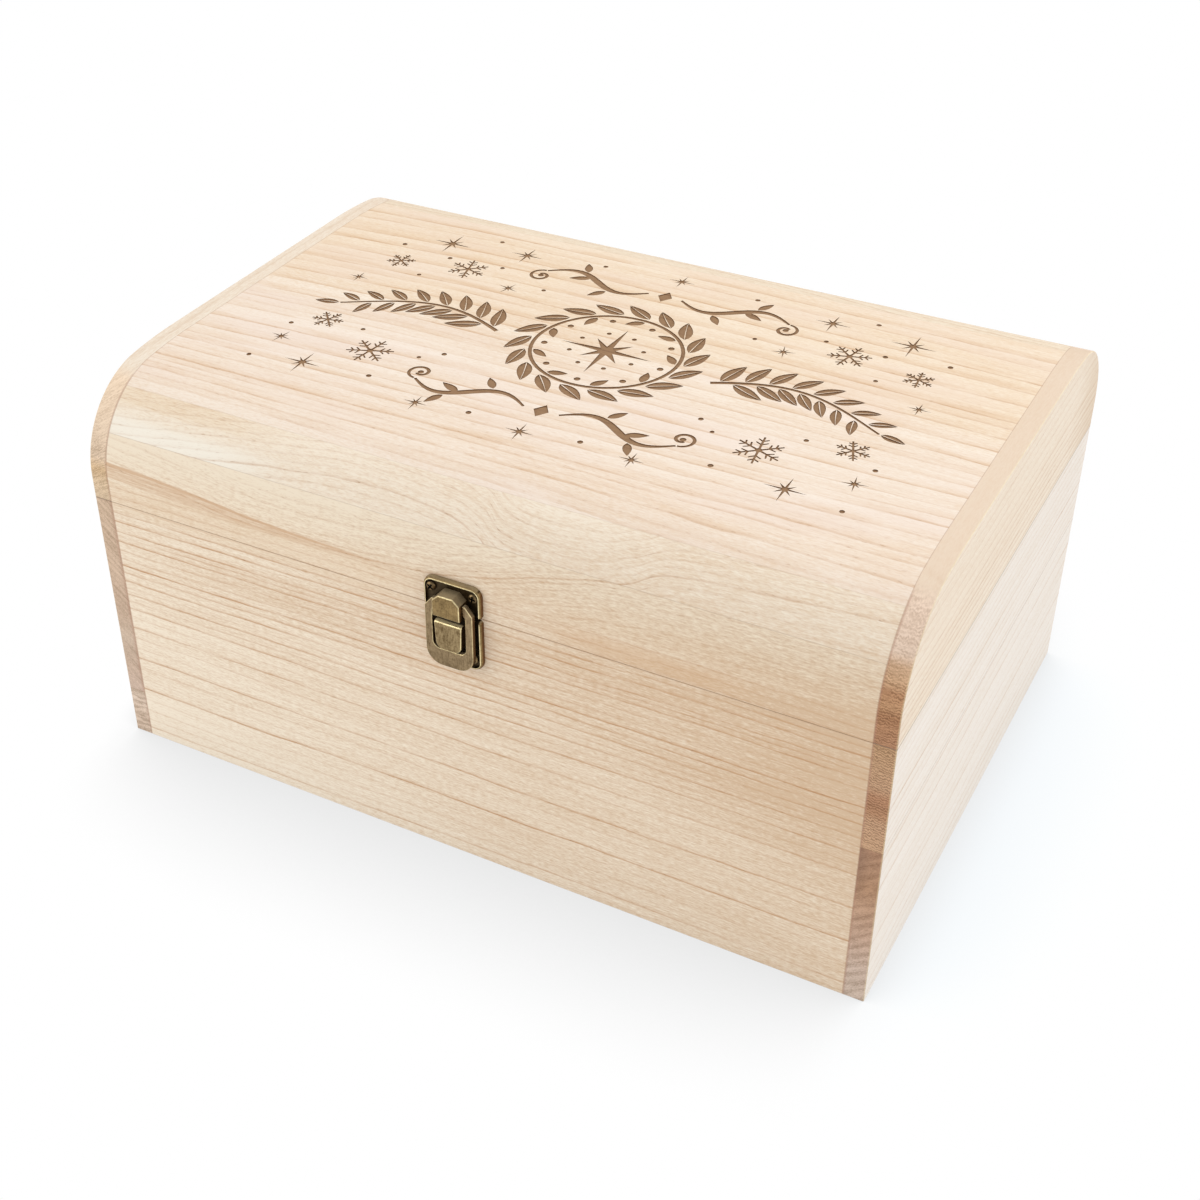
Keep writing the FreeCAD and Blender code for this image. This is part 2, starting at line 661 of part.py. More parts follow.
def hinge(side, name):
    centre = S.hinge_x * side
    left = centre - S.hinge_len / 2
    for leaf_name, own, up in (("base", (0, 2, 4), -1), ("lid", (1, 3), 1)):
        label = "hinge_%s_%s_leaf" % (name, leaf_name)
        clear = S.barrel_r + S.leaf_play
        plate_z = pin_z - S.leaf_drop if up < 0 else pin_z + clear
        plate = block(label + "_plate", left, half_d, plate_z, S.hinge_len, S.leaf, S.leaf_drop - clear)
        doc.recompute()
        far = pin_z.value + up * S.leaf_drop.value
        corner = doc.addObject("Part::Fillet", label + "_corners")
        corner.Base = plate
        picks = []
        for i, edge in enumerate(plate.Shape.Edges):
            box = edge.BoundBox
            if abs(box.ZMin - far) < 1e-4 and abs(box.ZMax - far) < 1e-4 and box.XMax - box.XMin < 1e-4:
                picks.append((i + 1, S.leaf_r.value, S.leaf_r.value))
        corner.Edges = picks
        plate.Visibility = False
        solids = [corner]
        for k in own:
            start = left + knuckle * k
            lo = start + S.knuckle_gap / 2 if k > 0 else start
            length = knuckle - S.knuckle_gap / (1 if 0 < k < 4 else 2)
            solids.append(rod("%s_knuckle_%d" % (label, k), lo, pin_y, pin_z, S.barrel_r, length,
                              (0, 1, 0), 90))
            web_z = pin_z - clear - 0.2 if up < 0 else pin_z
            solids.append(block("%s_web_%d" % (label, k), lo, half_d, web_z, length, S.leaf, clear + 0.2))
            # arm of the stop flange, from the knuckle out
            arm_shift = S.stop_play
            if up < 0:
                arm = block("%s_arm_%d" % (label, k), lo,
                            pin_y + 1.6 * cosd(S.stop_a) - (arm_shift + S.stop_thick) * sind(S.stop_a),
                            pin_z - 1.6 * sind(S.stop_a) - (arm_shift + S.stop_thick) * cosd(S.stop_a),
                            length, S.stop_in - 1.6 + 0.3, S.stop_thick, (-1, 0, 0), S.stop_a)
            else:
                arm = block("%s_arm_%d" % (label, k), lo,
                            pin_y + 1.6 * cosd(S.stop_a) - arm_shift * sind(S.stop_a),
                            pin_z + 1.6 * sind(S.stop_a) + arm_shift * cosd(S.stop_a),
                            length, S.stop_in - 1.6 + 0.3, S.stop_thick, (1, 0, 0), S.stop_a)
            solids.append(arm)
        reach = S.stop_r - S.stop_in
        if up < 0:
            flange = block(label + "_stop", left,
                           pin_y + S.stop_in * cosd(S.stop_a) - (S.stop_play + S.stop_thick) * sind(S.stop_a),
                           pin_z - S.stop_in * sind(S.stop_a) - (S.stop_play + S.stop_thick) * cosd(S.stop_a),
                           S.hinge_len, reach, S.stop_thick, (-1, 0, 0), S.stop_a)
        else:
            flange = block(label + "_stop", left,
                           pin_y + S.stop_in * cosd(S.stop_a) - S.stop_play * sind(S.stop_a),
                           pin_z + S.stop_in * sind(S.stop_a) + S.stop_play * cosd(S.stop_a),
                           S.hinge_len, reach, S.stop_thick, (1, 0, 0), S.stop_a)
        solids.append(flange)
        whole = fuse(label + "_whole", solids)
        bore_r = S.pin_r if up < 0 else S.pin_r + S.pin_play
        tools = [rod(label + "_bore", left - 1, pin_y, pin_z, bore_r, S.hinge_len + 2, (0, 1, 0), 90)]
        for out in (-1, 1):
            x = centre + S.hinge_screw_x * out
            z = pin_z + S.hinge_screw_z * up
            tools.append(taper("%s_csk_%d" % (label, out + 1), x, half_d, z, S.screw_r, S.csk_r, S.leaf,
                               (-1, 0, 0), 90))
        leaf = cut(label, whole, fuse(label + "_tools", tools))
        piece(leaf, label)
    label = "hinge_%s_pin" % name
    shank = rod(label + "_shank", left - 0.2, pin_y, pin_z, S.pin_r, S.hinge_len + 0.4, (0, 1, 0), 90)
    head_a = rod(label + "_head_a", left - 0.8, pin_y, pin_z, S.pin_head_r, 0.8, (0, 1, 0), 90)
    head_b = rod(label + "_head_b", left + S.hinge_len, pin_y, pin_z, S.pin_head_r, 0.8, (0, 1, 0), 90)
    piece(fuse(label, [shank, head_a, head_b]), label)


hinge(-1, "left")
hinge(1, "right")

# ----------------------------------------------------------------- screws

def csk_screw(name, x, z, spin):
    """Countersunk screw driven into the back from behind."""
    shank = rod(name + "_shank", x, half_d - S.screw_len, z, S.screw_r, S.screw_len, (-1, 0, 0), 90)
    point = taper(name + "_point", x, half_d - S.screw_len - 0.6, z, 0.5, S.screw_r, 0.6, (-1, 0, 0), 90)
    head = taper(name + "_head", x, half_d, z, S.screw_r, S.csk_r, S.leaf, (-1, 0, 0), 90)
    return cross(name, fuse(name + "_whole", [point, shank, head]), x, half_d + S.leaf, z, 1, spin, 2.6, 0.5)


def pan_screw(name, x, z, spin):
    """Pan-head screw driven into the front through a latch plate."""
    face = -(half_d + S.pan_floor)
    shank = rod(name + "_shank", x, face, z, S.screw_r, S.screw_len + S.pan_floor, (-1, 0, 0), 90)
    point = taper(name + "_point", x, -half_d + S.screw_len, z, S.screw_r, 0.5, 0.6, (-1, 0, 0), 90)
    rim = rod(name + "_rim", x, face, z, S.pan_head_r, S.pan_head * 0.4, (1, 0, 0), 90)
    crown = taper(name + "_crown", x, face - S.pan_head * 0.4, z, S.pan_head_r, S.pan_head_r * 0.9,
                  S.pan_head * 0.3, (1, 0, 0), 90)
    brow = taper(name + "_brow", x, face - S.pan_head * 0.7, z, S.pan_head_r * 0.9, S.pan_head_r * 0.66,
                 S.pan_head * 0.3, (1, 0, 0), 90)
    return cross(name, fuse(name + "_whole", [shank, point, rim, crown, brow]), x, face - S.pan_head, z, -1, spin,
                 3.0, 0.8)


def cross(name, whole, x, y, z, out, spin, span, deep):
    """A cross recess cut into a head; spin turns it about the screw."""
    bars = []
    for i, turn in enumerate((spin, spin + 90)):
        half, thin = span / 2, 0.3
        a = math.radians(turn)
        bar = doc.addObject("Part::Box", "%s_slot_%d" % (name, i))
        bar.Length, bar.Width, bar.Height = span, deep * 2, thin * 2
        # centred on the head's face, turned about the screw's axis
        dx = -half * math.cos(a) - thin * math.sin(a)
        dz = half * math.sin(a) - thin * math.cos(a)
        place(bar, x + dx, y - deep, z + dz, (0, 1, 0), turn)
        bars.append(bar)
    return cut(name, whole, fuse(name + "_recess", bars))


turns = (12, 57, 31, 74)
piece(group("base_hinge_screws", [csk_screw("base_hinge_screw_%d" % i, x, z, turns[i % 4])
                                  for i, (x, z, r) in enumerate(base_hinge_holes)]), "base_hinge_screws", 4)
piece(group("lid_hinge_screws", [csk_screw("lid_hinge_screw_%d" % i, x, z, turns[(i + 1) % 4])
                                 for i, (x, z, r) in enumerate(lid_hinge_holes)]), "lid_hinge_screws", 4)
piece(group("keeper_screws", [pan_screw("keeper_screw_%d" % i, x, z, (8, 35)[i])
                              for i, (x, z, r) in enumerate(keeper_holes)]), "keeper_screws", 2)
piece(group("catch_screws", [pan_screw("catch_screw_%d" % i, x, z, (20, 66)[i])
                             for i, (x, z, r) in enumerate(catch_holes)]), "catch_screws", 2)

# ------------------------------------------------------------------ latch

lx = S.latch_x


def pan_plate(label, open_z, far_z, up, screws):
    """A pressed plate with a rolled rim on three sides, open at the seam."""
    body = new_body(label)
    w, big, small = S.plate_half, S.pan_corner, S.pan_corner_small
    turn = -1 if up > 0 else 1
    sketch = new_sketch(body, label + "_outline", "XZ_Plane", half_d)
    loop(sketch, [
        (lx - w, open_z + small * up, None),
        (lx - w, far_z - big * up, (big, turn)),
        (lx - w + big, far_z, None),
        (lx + w - big, far_z, (big, turn)),
        (lx + w, far_z - big * up, None),
        (lx + w, open_z + small * up, (small, turn)),
        (lx + w - small, open_z, None),
        (lx - w + small, open_z, (small, turn)),
    ])
    grow(body, "Pad", label + "_pad", sketch, S.pan_rim, False)
    soften(body, label + "_roll", S.rim_round, edge_on(1, -(half_d + S.pan_rim).value))
    rim, inner = S.rim_width, S.pan_corner_in
    sketch = new_sketch(body, label + "_pan_line", "XZ_Plane", half_d + S.pan_rim)
    loop(sketch, [
        (lx - w + rim, open_z - 1.0 * up, None),
        (lx - w + rim, far_z - (rim + inner) * up, (inner, turn)),
        (lx - w + rim + inner, far_z - rim * up, None),
        (lx + w - rim - inner, far_z - rim * up, (inner, turn)),
        (lx + w - rim, far_z - (rim + inner) * up, None),
        (lx + w - rim, open_z - 1.0 * up, None),
    ])
    grow(body, "Pocket", label + "_pan", sketch, S.pan_rim - S.pan_floor, False)
    sketch = new_sketch(body, label + "_screw_line", "XZ_Plane", half_d + S.pan_floor)
    for x, z, radius in screws:
        hole(sketch, x, z, radius)
    grow(body, "Pocket", label + "_screw_holes", sketch, S.pan_floor, False)
    return piece(body, label)


pan_plate("keeper_plate", S.seam + S.plate_gap, S.keeper_top, 1, keeper_holes)
pan_plate("catch_plate", S.seam - S.plate_gap, S.catch_foot, -1, catch_holes)

# hood that carries the ring
hood = new_body("keeper_boss")
b, clip = S.boss_half, S.boss_clip
sketch = new_sketch(hood, "hood_outline", "XZ_Plane", half_d + S.pan_floor)
loop(sketch, [
    (lx - b, S.boss_foot, None), (lx + b, S.boss_foot, None), (lx + b, S.boss_top - clip, None),
    (lx + b - clip, S.boss_top, None), (lx - b + clip, S.boss_top, None), (lx - b, S.boss_top - clip, None),
])
grow(hood, "Pad", "hood_pad", sketch, S.boss_out - S.pan_floor, False)
soften(hood, "hood_ease", S.hardware_round, edge_on(1, -(half_d + S.boss_out).value))
sketch = new_sketch(hood, "hood_hollow", "XY_Plane", S.boss_foot)
in_x = b - S.boss_wall
loop(sketch, [
    (lx - in_x, -(half_d + S.boss_out - S.boss_wall), None), (lx + in_x, -(half_d + S.boss_out - S.boss_wall), None),
    (lx + in_x, -(half_d + S.pan_floor + S.boss_wall), None), (lx - in_x, -(half_d + S.pan_floor + S.boss_wall), None),
])
grow(hood, "Pocket", "hood_hollow_cut", sketch, S.boss_hollow, True)
sketch = new_sketch(hood, "hood_bore", "YZ_Plane", lx - 10)
hole(sketch, -(half_d + S.pivot_out), S.pivot_z, S.pivot_r + S.pivot_play)
grow(hood, "Pocket", "hood_bore_cut", sketch, 20, True)
piece(hood, "keeper_boss")

# tongue that the ring goes round
tab = new_body("catch_tongue")
w, wl, tc = S.tab_half, S.tab_half_low, S.tab_corner
sketch = new_sketch(tab, "tongue_outline", "XZ_Plane", half_d + S.pan_floor)
loop(sketch, [
    (lx - w, S.tab_top, None),
    (lx - wl, S.tab_low, (tc, 1)),
    (lx - wl + tc, S.tab_foot, None),
    (lx + wl - tc, S.tab_foot, (tc, 1)),
    (lx + wl, S.tab_low, None),
    (lx + w, S.tab_top, None),
])
grow(tab, "Pad", "tongue_pad", sketch, S.tab_out - S.pan_floor, False)
soften(tab, "tongue_brow", S.tab_brow,
       lambda edge: edge_on(1, -(half_d + S.tab_out).value)(edge) and edge_on(2, S.tab_top.value)(edge))
soften(tab, "tongue_ease", S.hardware_round,
       lambda edge: edge_on(1, -(half_d + S.tab_out).value)(edge) and edge.BoundBox.ZMin < (S.tab_top - 2.0).value)
piece(tab, "catch_tongue")

# swinging ring: modelled round its own pivot, then hung in place
ring = new_body("latch_ring")
rh, rc = S.ring_half, S.ring_corner
inner_x = S.boss_half + S.ring_gap
sketch = new_sketch(ring, "ring_outline", "XZ_Plane", S.ring_thick / 2)
loop(sketch, [
    (-inner_x, S.ring_head, None),
    (-inner_x, -S.ring_window_top, None),
    (-S.ring_window, -(S.ring_window_top + 1.4), None),
    (-S.ring_window, -(S.ring_window_foot - S.ring_window_r), (S.ring_window_r, 1)),
    (-(S.ring_window - S.ring_window_r), -S.ring_window_foot, None),
    (S.ring_window - S.ring_window_r, -S.ring_window_foot, (S.ring_window_r, 1)),
    (S.ring_window, -(S.ring_window_foot - S.ring_window_r), None),
    (S.ring_window, -(S.ring_window_top + 1.4), None),
    (inner_x, -S.ring_window_top, None),
    (inner_x, S.ring_head, None),
    (S.ring_head_x, S.ring_head, None),
    (rh, -S.ring_shoulder, None),
    (rh, -(S.ring_foot - rc), (rc, -1)),
    (rh - rc, -S.ring_foot, None),
    (-(rh - rc), -S.ring_foot, (rc, -1)),
    (-rh, -(S.ring_foot - rc), None),
    (-rh, -S.ring_shoulder, None),
    (-S.ring_head_x, S.ring_head, None),
])
grow(ring, "Pad", "ring_pad", sketch, S.ring_thick, True)
half_t = S.ring_thick.value / 2
soften(ring, "ring_ease", S.ring_round,
       lambda edge: edge_on(1, -half_t)(edge) or edge_on(1, half_t)(edge))
sketch = new_sketch(ring, "ring_bar_line", "YZ_Plane", -(inner_x + 1.8))
hole(sketch, zero, zero, S.pivot_r)
grow(ring, "Pad", "ring_bar", sketch, 2 * (inner_x + 1.8), False)
place(ring, lx, -(half_d + S.pivot_out), S.pivot_z, (-1, 0, 0), S.ring_tilt)
piece(ring, "latch_ring")

# ----------------------------------------------------------------- output

doc.recompute()
for obj in doc.Objects:
    if "Invalid" in obj.State or "Error" in obj.State:
        raise RuntimeError("%s failed: %s" % (obj.Name, obj.State))

os.makedirs("parts", exist_ok=True)
wanted = set()
whole_box = FreeCAD.BoundBox()
for label, obj, solids in PIECES:
    shape = obj.Shape
    if shape.isNull() or not shape.isValid():
        raise RuntimeError(label + " has no valid shape")
    if len(shape.Solids) != solids:
        raise RuntimeError("%s has %d solids" % (label, len(shape.Solids)))
    whole_box.add(shape.BoundBox)
    print("%-26s %10.1f mm3  solids %d" % (label, shape.Volume, len(shape.Solids)))
for label, obj, solids in PIECES:
    path = os.path.join("parts", label + ".step")
    obj.Shape.exportStep(path)
    wanted.add(label + ".step")
for name in sorted(os.listdir("parts")):
    if name.endswith(".step") and name not in wanted:
        os.remove(os.path.join("parts", name))
print("pieces %d" % len(PIECES))
print("overall x %.2f..%.2f y %.2f..%.2f z %.2f..%.2f" % (
    whole_box.XMin, whole_box.XMax, whole_box.YMin, whole_box.YMax, whole_box.ZMin, whole_box.ZMax))
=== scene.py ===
import math

import bmesh
import bpy
from mathutils import Matrix, Vector
from mathutils.geometry import delaunay_2d_cdt


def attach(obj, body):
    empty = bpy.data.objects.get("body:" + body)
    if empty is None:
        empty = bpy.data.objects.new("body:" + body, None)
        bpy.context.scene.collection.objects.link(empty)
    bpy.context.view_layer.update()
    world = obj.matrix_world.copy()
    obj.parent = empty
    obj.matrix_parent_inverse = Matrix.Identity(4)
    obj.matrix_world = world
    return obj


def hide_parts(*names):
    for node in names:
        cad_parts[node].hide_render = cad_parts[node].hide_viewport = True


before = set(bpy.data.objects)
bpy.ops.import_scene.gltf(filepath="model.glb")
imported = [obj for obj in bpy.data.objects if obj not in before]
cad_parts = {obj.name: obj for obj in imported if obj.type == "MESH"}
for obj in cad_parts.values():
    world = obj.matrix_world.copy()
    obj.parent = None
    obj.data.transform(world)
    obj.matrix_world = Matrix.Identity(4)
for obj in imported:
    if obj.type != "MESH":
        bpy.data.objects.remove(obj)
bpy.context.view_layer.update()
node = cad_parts
MM = 0.001


# ------------------------------------------------------------------ camera

cam_data = bpy.data.cameras.new("camera")
cam_data.sensor_width = 36.0
cam_data.lens = 54.412
cam_data.shift_x = 0.05
cam_data.clip_start = 0.05
cam_data.clip_end = 30.0
camera = bpy.data.objects.new("camera", cam_data)
bpy.context.scene.collection.objects.link(camera)
right = Vector((0.87720065, 0.47997453, -0.0119781))
down = Vector((0.26991724, -0.51362553, -0.81445288))
ahead = Vector((-0.3970689, 0.7112055, -0.58010605))
turn = Matrix((right, -down, -ahead)).transposed()
camera.matrix_world = Matrix.Translation(Vector((342.469, -680.900, 601.134)) * MM) @ turn.to_4x4()
bpy.context.scene.camera = camera
bpy.context.scene.view_settings.view_transform = "Standard"


# ----------------------------------------------------------- node shorthand

def tone(r, g, b):
    """A display colour, 0 to 255, as the linear colour that shaders use."""
    out = []
    for c in (r, g, b):
        c = c / 255.0
        out.append(c / 12.92 if c <= 0.04045 else ((c + 0.055) / 1.055) ** 2.4)
    return (out[0], out[1], out[2], 1.0)


class Sig:
    """A socket that adds, multiplies and so on by making the nodes for it."""

    def __init__(self, net, socket):
        self.net = net
        self.socket = socket

    def __add__(self, o):
        return self.net.math("ADD", self, o)

    def __sub__(self, o):
        return self.net.math("SUBTRACT", self, o)

    def __mul__(self, o):
        return self.net.math("MULTIPLY", self, o)

    def __truediv__(self, o):
        return self.net.math("DIVIDE", self, o)

    def __neg__(self):
        return self.net.math("MULTIPLY", self, -1.0)

    __radd__ = __add__
    __rmul__ = __mul__

    def __rsub__(self, o):
        return self.net.math("SUBTRACT", o, self)


class Net:
    """One material and its nodes."""

    def __init__(self, name):
        self.mat = bpy.data.materials.new(name)
        self.mat.use_nodes = True
        self.tree = self.mat.node_tree
        self.tree.nodes.clear()
        self.out = self.tree.nodes.new("ShaderNodeOutputMaterial")
        self.bsdf = self.tree.nodes.new("ShaderNodeBsdfPrincipled")
        self.tree.links.new(self.bsdf.outputs["BSDF"], self.out.inputs["Surface"])
        self.coord = None

    def plug(self, value, socket):
        if isinstance(value, Sig):
            self.tree.links.new(value.socket, socket)
        else:
            socket.default_value = value

    def add(self, kind):
        return self.tree.nodes.new(kind)

    def math(self, op, a, b=None, c=None, clamp=False):
        n = self.add("ShaderNodeMath")
        n.operation = op
        n.use_clamp = clamp
        for i, v in enumerate((a, b, c)):
            if v is not None:
                self.plug(v, n.inputs[i])
        return Sig(self, n.outputs[0])

    def clamp(self, a, low=0.0, high=1.0):
        return self.math("MINIMUM", self.math("MAXIMUM", a, low), high)

    def step(self, a, low, high):
        """Rises smoothly from 0 at low to 1 at high."""
        n = self.add("ShaderNodeMapRange")
        n.interpolation_type = "SMOOTHSTEP"
        self.plug(a, n.inputs[0])
        n.inputs[1].default_value = low
        n.inputs[2].default_value = high
        return Sig(self, n.outputs[0])

    def ramp_range(self, a, low, high, to_low, to_high):
        n = self.add("ShaderNodeMapRange")
        self.plug(a, n.inputs[0])
        for i, v in enumerate((low, high, to_low, to_high)):
            n.inputs[i + 1].default_value = v
        return Sig(self, n.outputs[0])

    def xyz(self):
        """Object coordinates in millimetres."""
        if self.coord is None:
            self.coord = self.add("ShaderNodeTexCoord")
        n = self.add("ShaderNodeSeparateXYZ")
        self.tree.links.new(self.coord.outputs["Object"], n.inputs[0])
        return [Sig(self, n.outputs[i]) * 1000.0 for i in range(3)]

    def facing(self):
        """The surface's direction in the object's own frame."""
        if self.coord is None:
            self.coord = self.add("ShaderNodeTexCoord")
        n = self.add("ShaderNodeSeparateXYZ")
        self.tree.links.new(self.coord.outputs["Normal"], n.inputs[0])
        return [Sig(self, n.outputs[i]) for i in range(3)]

    def vec(self, x, y, z):
        n = self.add("ShaderNodeCombineXYZ")
        for i, v in enumerate((x, y, z)):
            self.plug(v, n.inputs[i])
        return Sig(self, n.outputs[0])

    def noise(self, x, y, z, detail=2.0, rough=0.5, twist=0.0):
        n = self.add("ShaderNodeTexNoise")
        self.plug(self.vec(x, y, z), n.inputs["Vector"])
        n.inputs["Scale"].default_value = 1.0
        n.inputs["Detail"].default_value = detail
        n.inputs["Roughness"].default_value = rough
        n.inputs["Distortion"].default_value = twist
        return Sig(self, n.outputs[0])

    def cells(self, x, y, z, feature="F1"):
        n = self.add("ShaderNodeTexVoronoi")
        n.feature = feature
        self.plug(self.vec(x, y, z), n.inputs["Vector"])
        n.inputs["Scale"].default_value = 1.0
        return Sig(self, n.outputs["Distance"])

    def curve(self, a, points, smooth=True):
        """Maps 0..1 to 0..1 through points."""
        n = self.add("ShaderNodeFloatCurve")
        self.plug(a, n.inputs["Value"])
        line = n.mapping.curves[0]
        while len(line.points) > 2:
            line.points.remove(line.points[1])
        line.points[0].location = points[0]
        line.points[1].location = points[-1]
        for x, y in points[1:-1]:
            line.points.new(x, y)
        for p in line.points:
            p.handle_type = "AUTO" if smooth else "VECTOR"
        n.mapping.update()
        return Sig(self, n.outputs[0])

    def ramp(self, a, stops, how="LINEAR"):
        n = self.add("ShaderNodeValToRGB")
        self.plug(a, n.inputs[0])
        band = n.color_ramp
        band.interpolation = how
        while len(band.elements) > 1:
            band.elements.remove(band.elements[-1])
        first = True
        for pos, c in stops:
            c = (c, c, c, 1.0) if isinstance(c, float) else c
            if first:
                band.elements[0].position = pos
                band.elements[0].color = c
                first = False
            else:
                band.elements.new(pos).color = c
        return Sig(self, n.outputs[0])

    def mix(self, f, a, b, how="MIX"):
        n = self.add("ShaderNodeMix")
        n.data_type = "RGBA"
        n.blend_type = how
        n.clamp_factor = True
        self.plug(f, n.inputs[0])
        self.plug(a, n.inputs[6])
        self.plug(b, n.inputs[7])
        return Sig(self, n.outputs[2])

    def bump(self, height, strength, distance, under=None):
        n = self.add("ShaderNodeBump")
        n.inputs["Strength"].default_value = strength
        n.inputs["Distance"].default_value = distance
        self.plug(height, n.inputs["Height"])
        if under is not None:
            self.plug(under, n.inputs["Normal"])
        return Sig(self, n.outputs[0])

    def shelter(self, distance, inside=False, samples=8, local=False):
        n = self.add("ShaderNodeAmbientOcclusion")
        n.inside = inside
        n.only_local = local
        n.samples = samples
        n.inputs["Distance"].default_value = distance
        return Sig(self, n.outputs["AO"])


# ------------------------------------------------------------------- wood

ROUND_R, ROUND_A, DOME_R, SPRING, HALF_D = 46.5, 83.5, 265.0, 154.0, 142.5
ROUND_Y = HALF_D - ROUND_R
SAW_Z = 142.4


def unroll(net, mirror=False):
    """x, length along the skin from the foot, and depth below the skin."""
    x, y, z = net.xyz()
    if mirror:
        y = -y
    across = -(y + ROUND_Y)
    up = z - SPRING
    angle = net.clamp(net.math("ARCTAN2", up, across), 0.0, math.radians(ROUND_A))
    reach = ROUND_Y + ROUND_R * math.cos(math.radians(ROUND_A))
    over = net.math("MAXIMUM", y + reach, 0.0)
    s = net.math("MINIMUM", z, SPRING) + angle * ROUND_R + over
    radial = net.math("SQRT", net.math("MAXIMUM", across * across + up * up, 0.0001))
    d_round = ROUND_R - radial
    d_flat = y + HALF_D
    d_top = 201.9 - z
    high = net.math("GREATER_THAN", up, 0.0)
    back = net.math("GREATER_THAN", y, -reach)
    d = d_flat + (d_round - d_flat) * high
    d = d + (d_top - d) * (back * high)
    return x, s, d


def growth(net, g, lines, low, high, soft=3.0, crisp=1.05):
    """Growth lines at listed places: (place, strength) from low to high.
    Gives the crisp line and the soft shade beside it."""
    places = [low] + [p for p, k in lines] + [high]
    count = len(places) - 1
    points = [((p - low) / (high - low), i / count) for i, p in enumerate(places)]
    index = net.curve(net.clamp((g - low) / (high - low)), points, smooth=False) * float(count)
    whole = net.math("FLOOR", index)
    phase = index - whole
    pick = (whole + 0.5) / float(count + 1)
    gaps = [b - a for a, b in zip(places, places[1:])]
    widest = max(gaps)
    gap = net.ramp(pick, [(i / (count + 1), a / widest) for i, a in enumerate(gaps)], "CONSTANT") * widest
    strength = net.ramp(pick, [(0.0, 0.1)] + [((i + 1) / (count + 1), float(k)) for i, (p, k) in enumerate(lines)],
                        "CONSTANT")
    following = [k for p, k in lines] + [0.1]
    strength_next = net.ramp(pick, [(i / (count + 1), float(k)) for i, k in enumerate(following)], "CONSTANT")
    past = phase * gap
    ahead_of = (1.0 - phase) * gap
    core = (1.0 - net.step(past, 0.22, crisp)) * strength
    core_next = (1.0 - net.step(ahead_of, 0.02, 0.36)) * strength_next
    halo = (1.0 - net.step(past, 0.3, soft)) * strength
    return net.clamp(net.math("MAXIMUM", core, core_next)), net.clamp(halo)


def board(net, u, v, w, look):
    """Colour and height of a planed board; u runs with the fibre, v across it,
    w into it, all in millimetres."""
    seed = look.get("seed", 0.0)
    u = u + seed * 37.0
    slow = net.noise(u / 150.0, v / 48.0, w / 48.0 + seed, 1.0, 0.4)
    fast = net.noise(u / 26.0, v / 9.0 + seed, w / 9.0, 2.0, 0.55)
    g = v + (slow - 0.5) * look.get("drift", 7.0) + (fast - 0.5) * look.get("wander", 1.5)
    g = g + w * look.get("lean", 0.5)
    if "shape" in look:
        g = g + look["shape"]
    line, halo = growth(net, g, look["lines"], look["low"], look["high"], look.get("halo_width", 3.0),
                        look.get("crisp", 1.05))
    fade = net.noise(u / 38.0 + 3.1, v / 4.0, w / 4.0, 2.0)
    fade = net.ramp_range(fade, 0.32, 0.66, look.get("fade", 0.35), 1.15)
    line = net.clamp(line * fade)
    halo = net.clamp(halo * fade)
    broad = net.noise(u / 190.0, g / 17.0, w / 20.0 + seed, 2.0, 0.55)
    streak = net.noise(u / 62.0, g / 1.4, w / 1.5 + seed, 3.0, 0.62)
    dash = net.noise(u / 8.5, g / 0.95 + seed, w / 0.95, 2.0, 0.55)
    fibre = net.noise(u / 12.0, g / 0.42, w / 0.42, 2.0, 0.6)
    silk = net.noise(u / 8.0, v / 3.2, w / 3.2 + 5.0, 3.0, 0.6)
    speck = net.noise(u / 3.0, v / 0.66 + 2.0, w / 0.66, 2.0, 0.6)
    pore = net.noise(u / 3.4, g / 0.36, w / 0.36 + 9.0, 1.0, 0.5)
    pore = net.step(pore, 0.60, 0.74)
    shade = (broad - 0.5) * look.get("broad", 0.8) + (streak - 0.5) * look.get("streak", 0.6) \
        + (dash - 0.5) * look.get("dash", 0.55) + (silk - 0.5) * look.get("silk", 0.35) \
        + (fibre - 0.5) * look.get("fibre", 0.6) + (speck - 0.5) * look.get("speck", 1.75) + look.get("base", 0.42)
    if "grade" in look:
        shade = shade + look["grade"]
    colour = net.mix(net.clamp(shade), look["light"], look["tan"])
    if "blush" in look:
        red = net.noise(u / 90.0 + 11.0, v / 26.0, w / 26.0, 1.0)
        colour = net.mix(net.step(red, 0.42, 0.72) * look.get("blush_force", 0.55), colour, look["blush"])
    if "patches" in look:
        for amount, patch in look["patches"]:
            colour = net.mix(amount, colour, patch)
    uneven = net.ramp_range(dash, 0.3, 0.7, 0.75, 1.15)
    colour = net.mix(halo * look.get("halo_force", 0.34), colour, look.get("halo", look["line"]))
    colour = net.mix(line * uneven * look.get("line_force", 0.85), colour, look["line"])
    colour = net.mix(pore * net.clamp(line * 0.8 + halo * 0.35 + look.get("pore_floor", 0.14)), colour, look["pore"])
    height = fibre * 0.4 + streak * 0.15 + silk * 0.2 + speck * 0.25 - pore * net.clamp(line + 0.2) * 0.9 - line * 0.3
    return colour, height, line


def wood_finish(net, colour, height, rough=0.62, depth=0.00012):
    net.plug(colour, net.bsdf.inputs["Base Color"])
    net.plug(net.bump(height, 0.55, depth), net.bsdf.inputs["Normal"])
    net.plug(net.ramp_range(height, 0.0, 1.0, rough + 0.1, rough - 0.06), net.bsdf.inputs["Roughness"])
    net.bsdf.inputs["Specular IOR Level"].default_value = 0.32
    return net.mat


def hairline(net, colour, value, place, half, dark, amount):
    """A thin darker line where value equals place."""
    away = net.math("ABSOLUTE", value - place)
    return net.mix((1.0 - net.step(away, half * 0.35, half)) * amount, colour, dark)


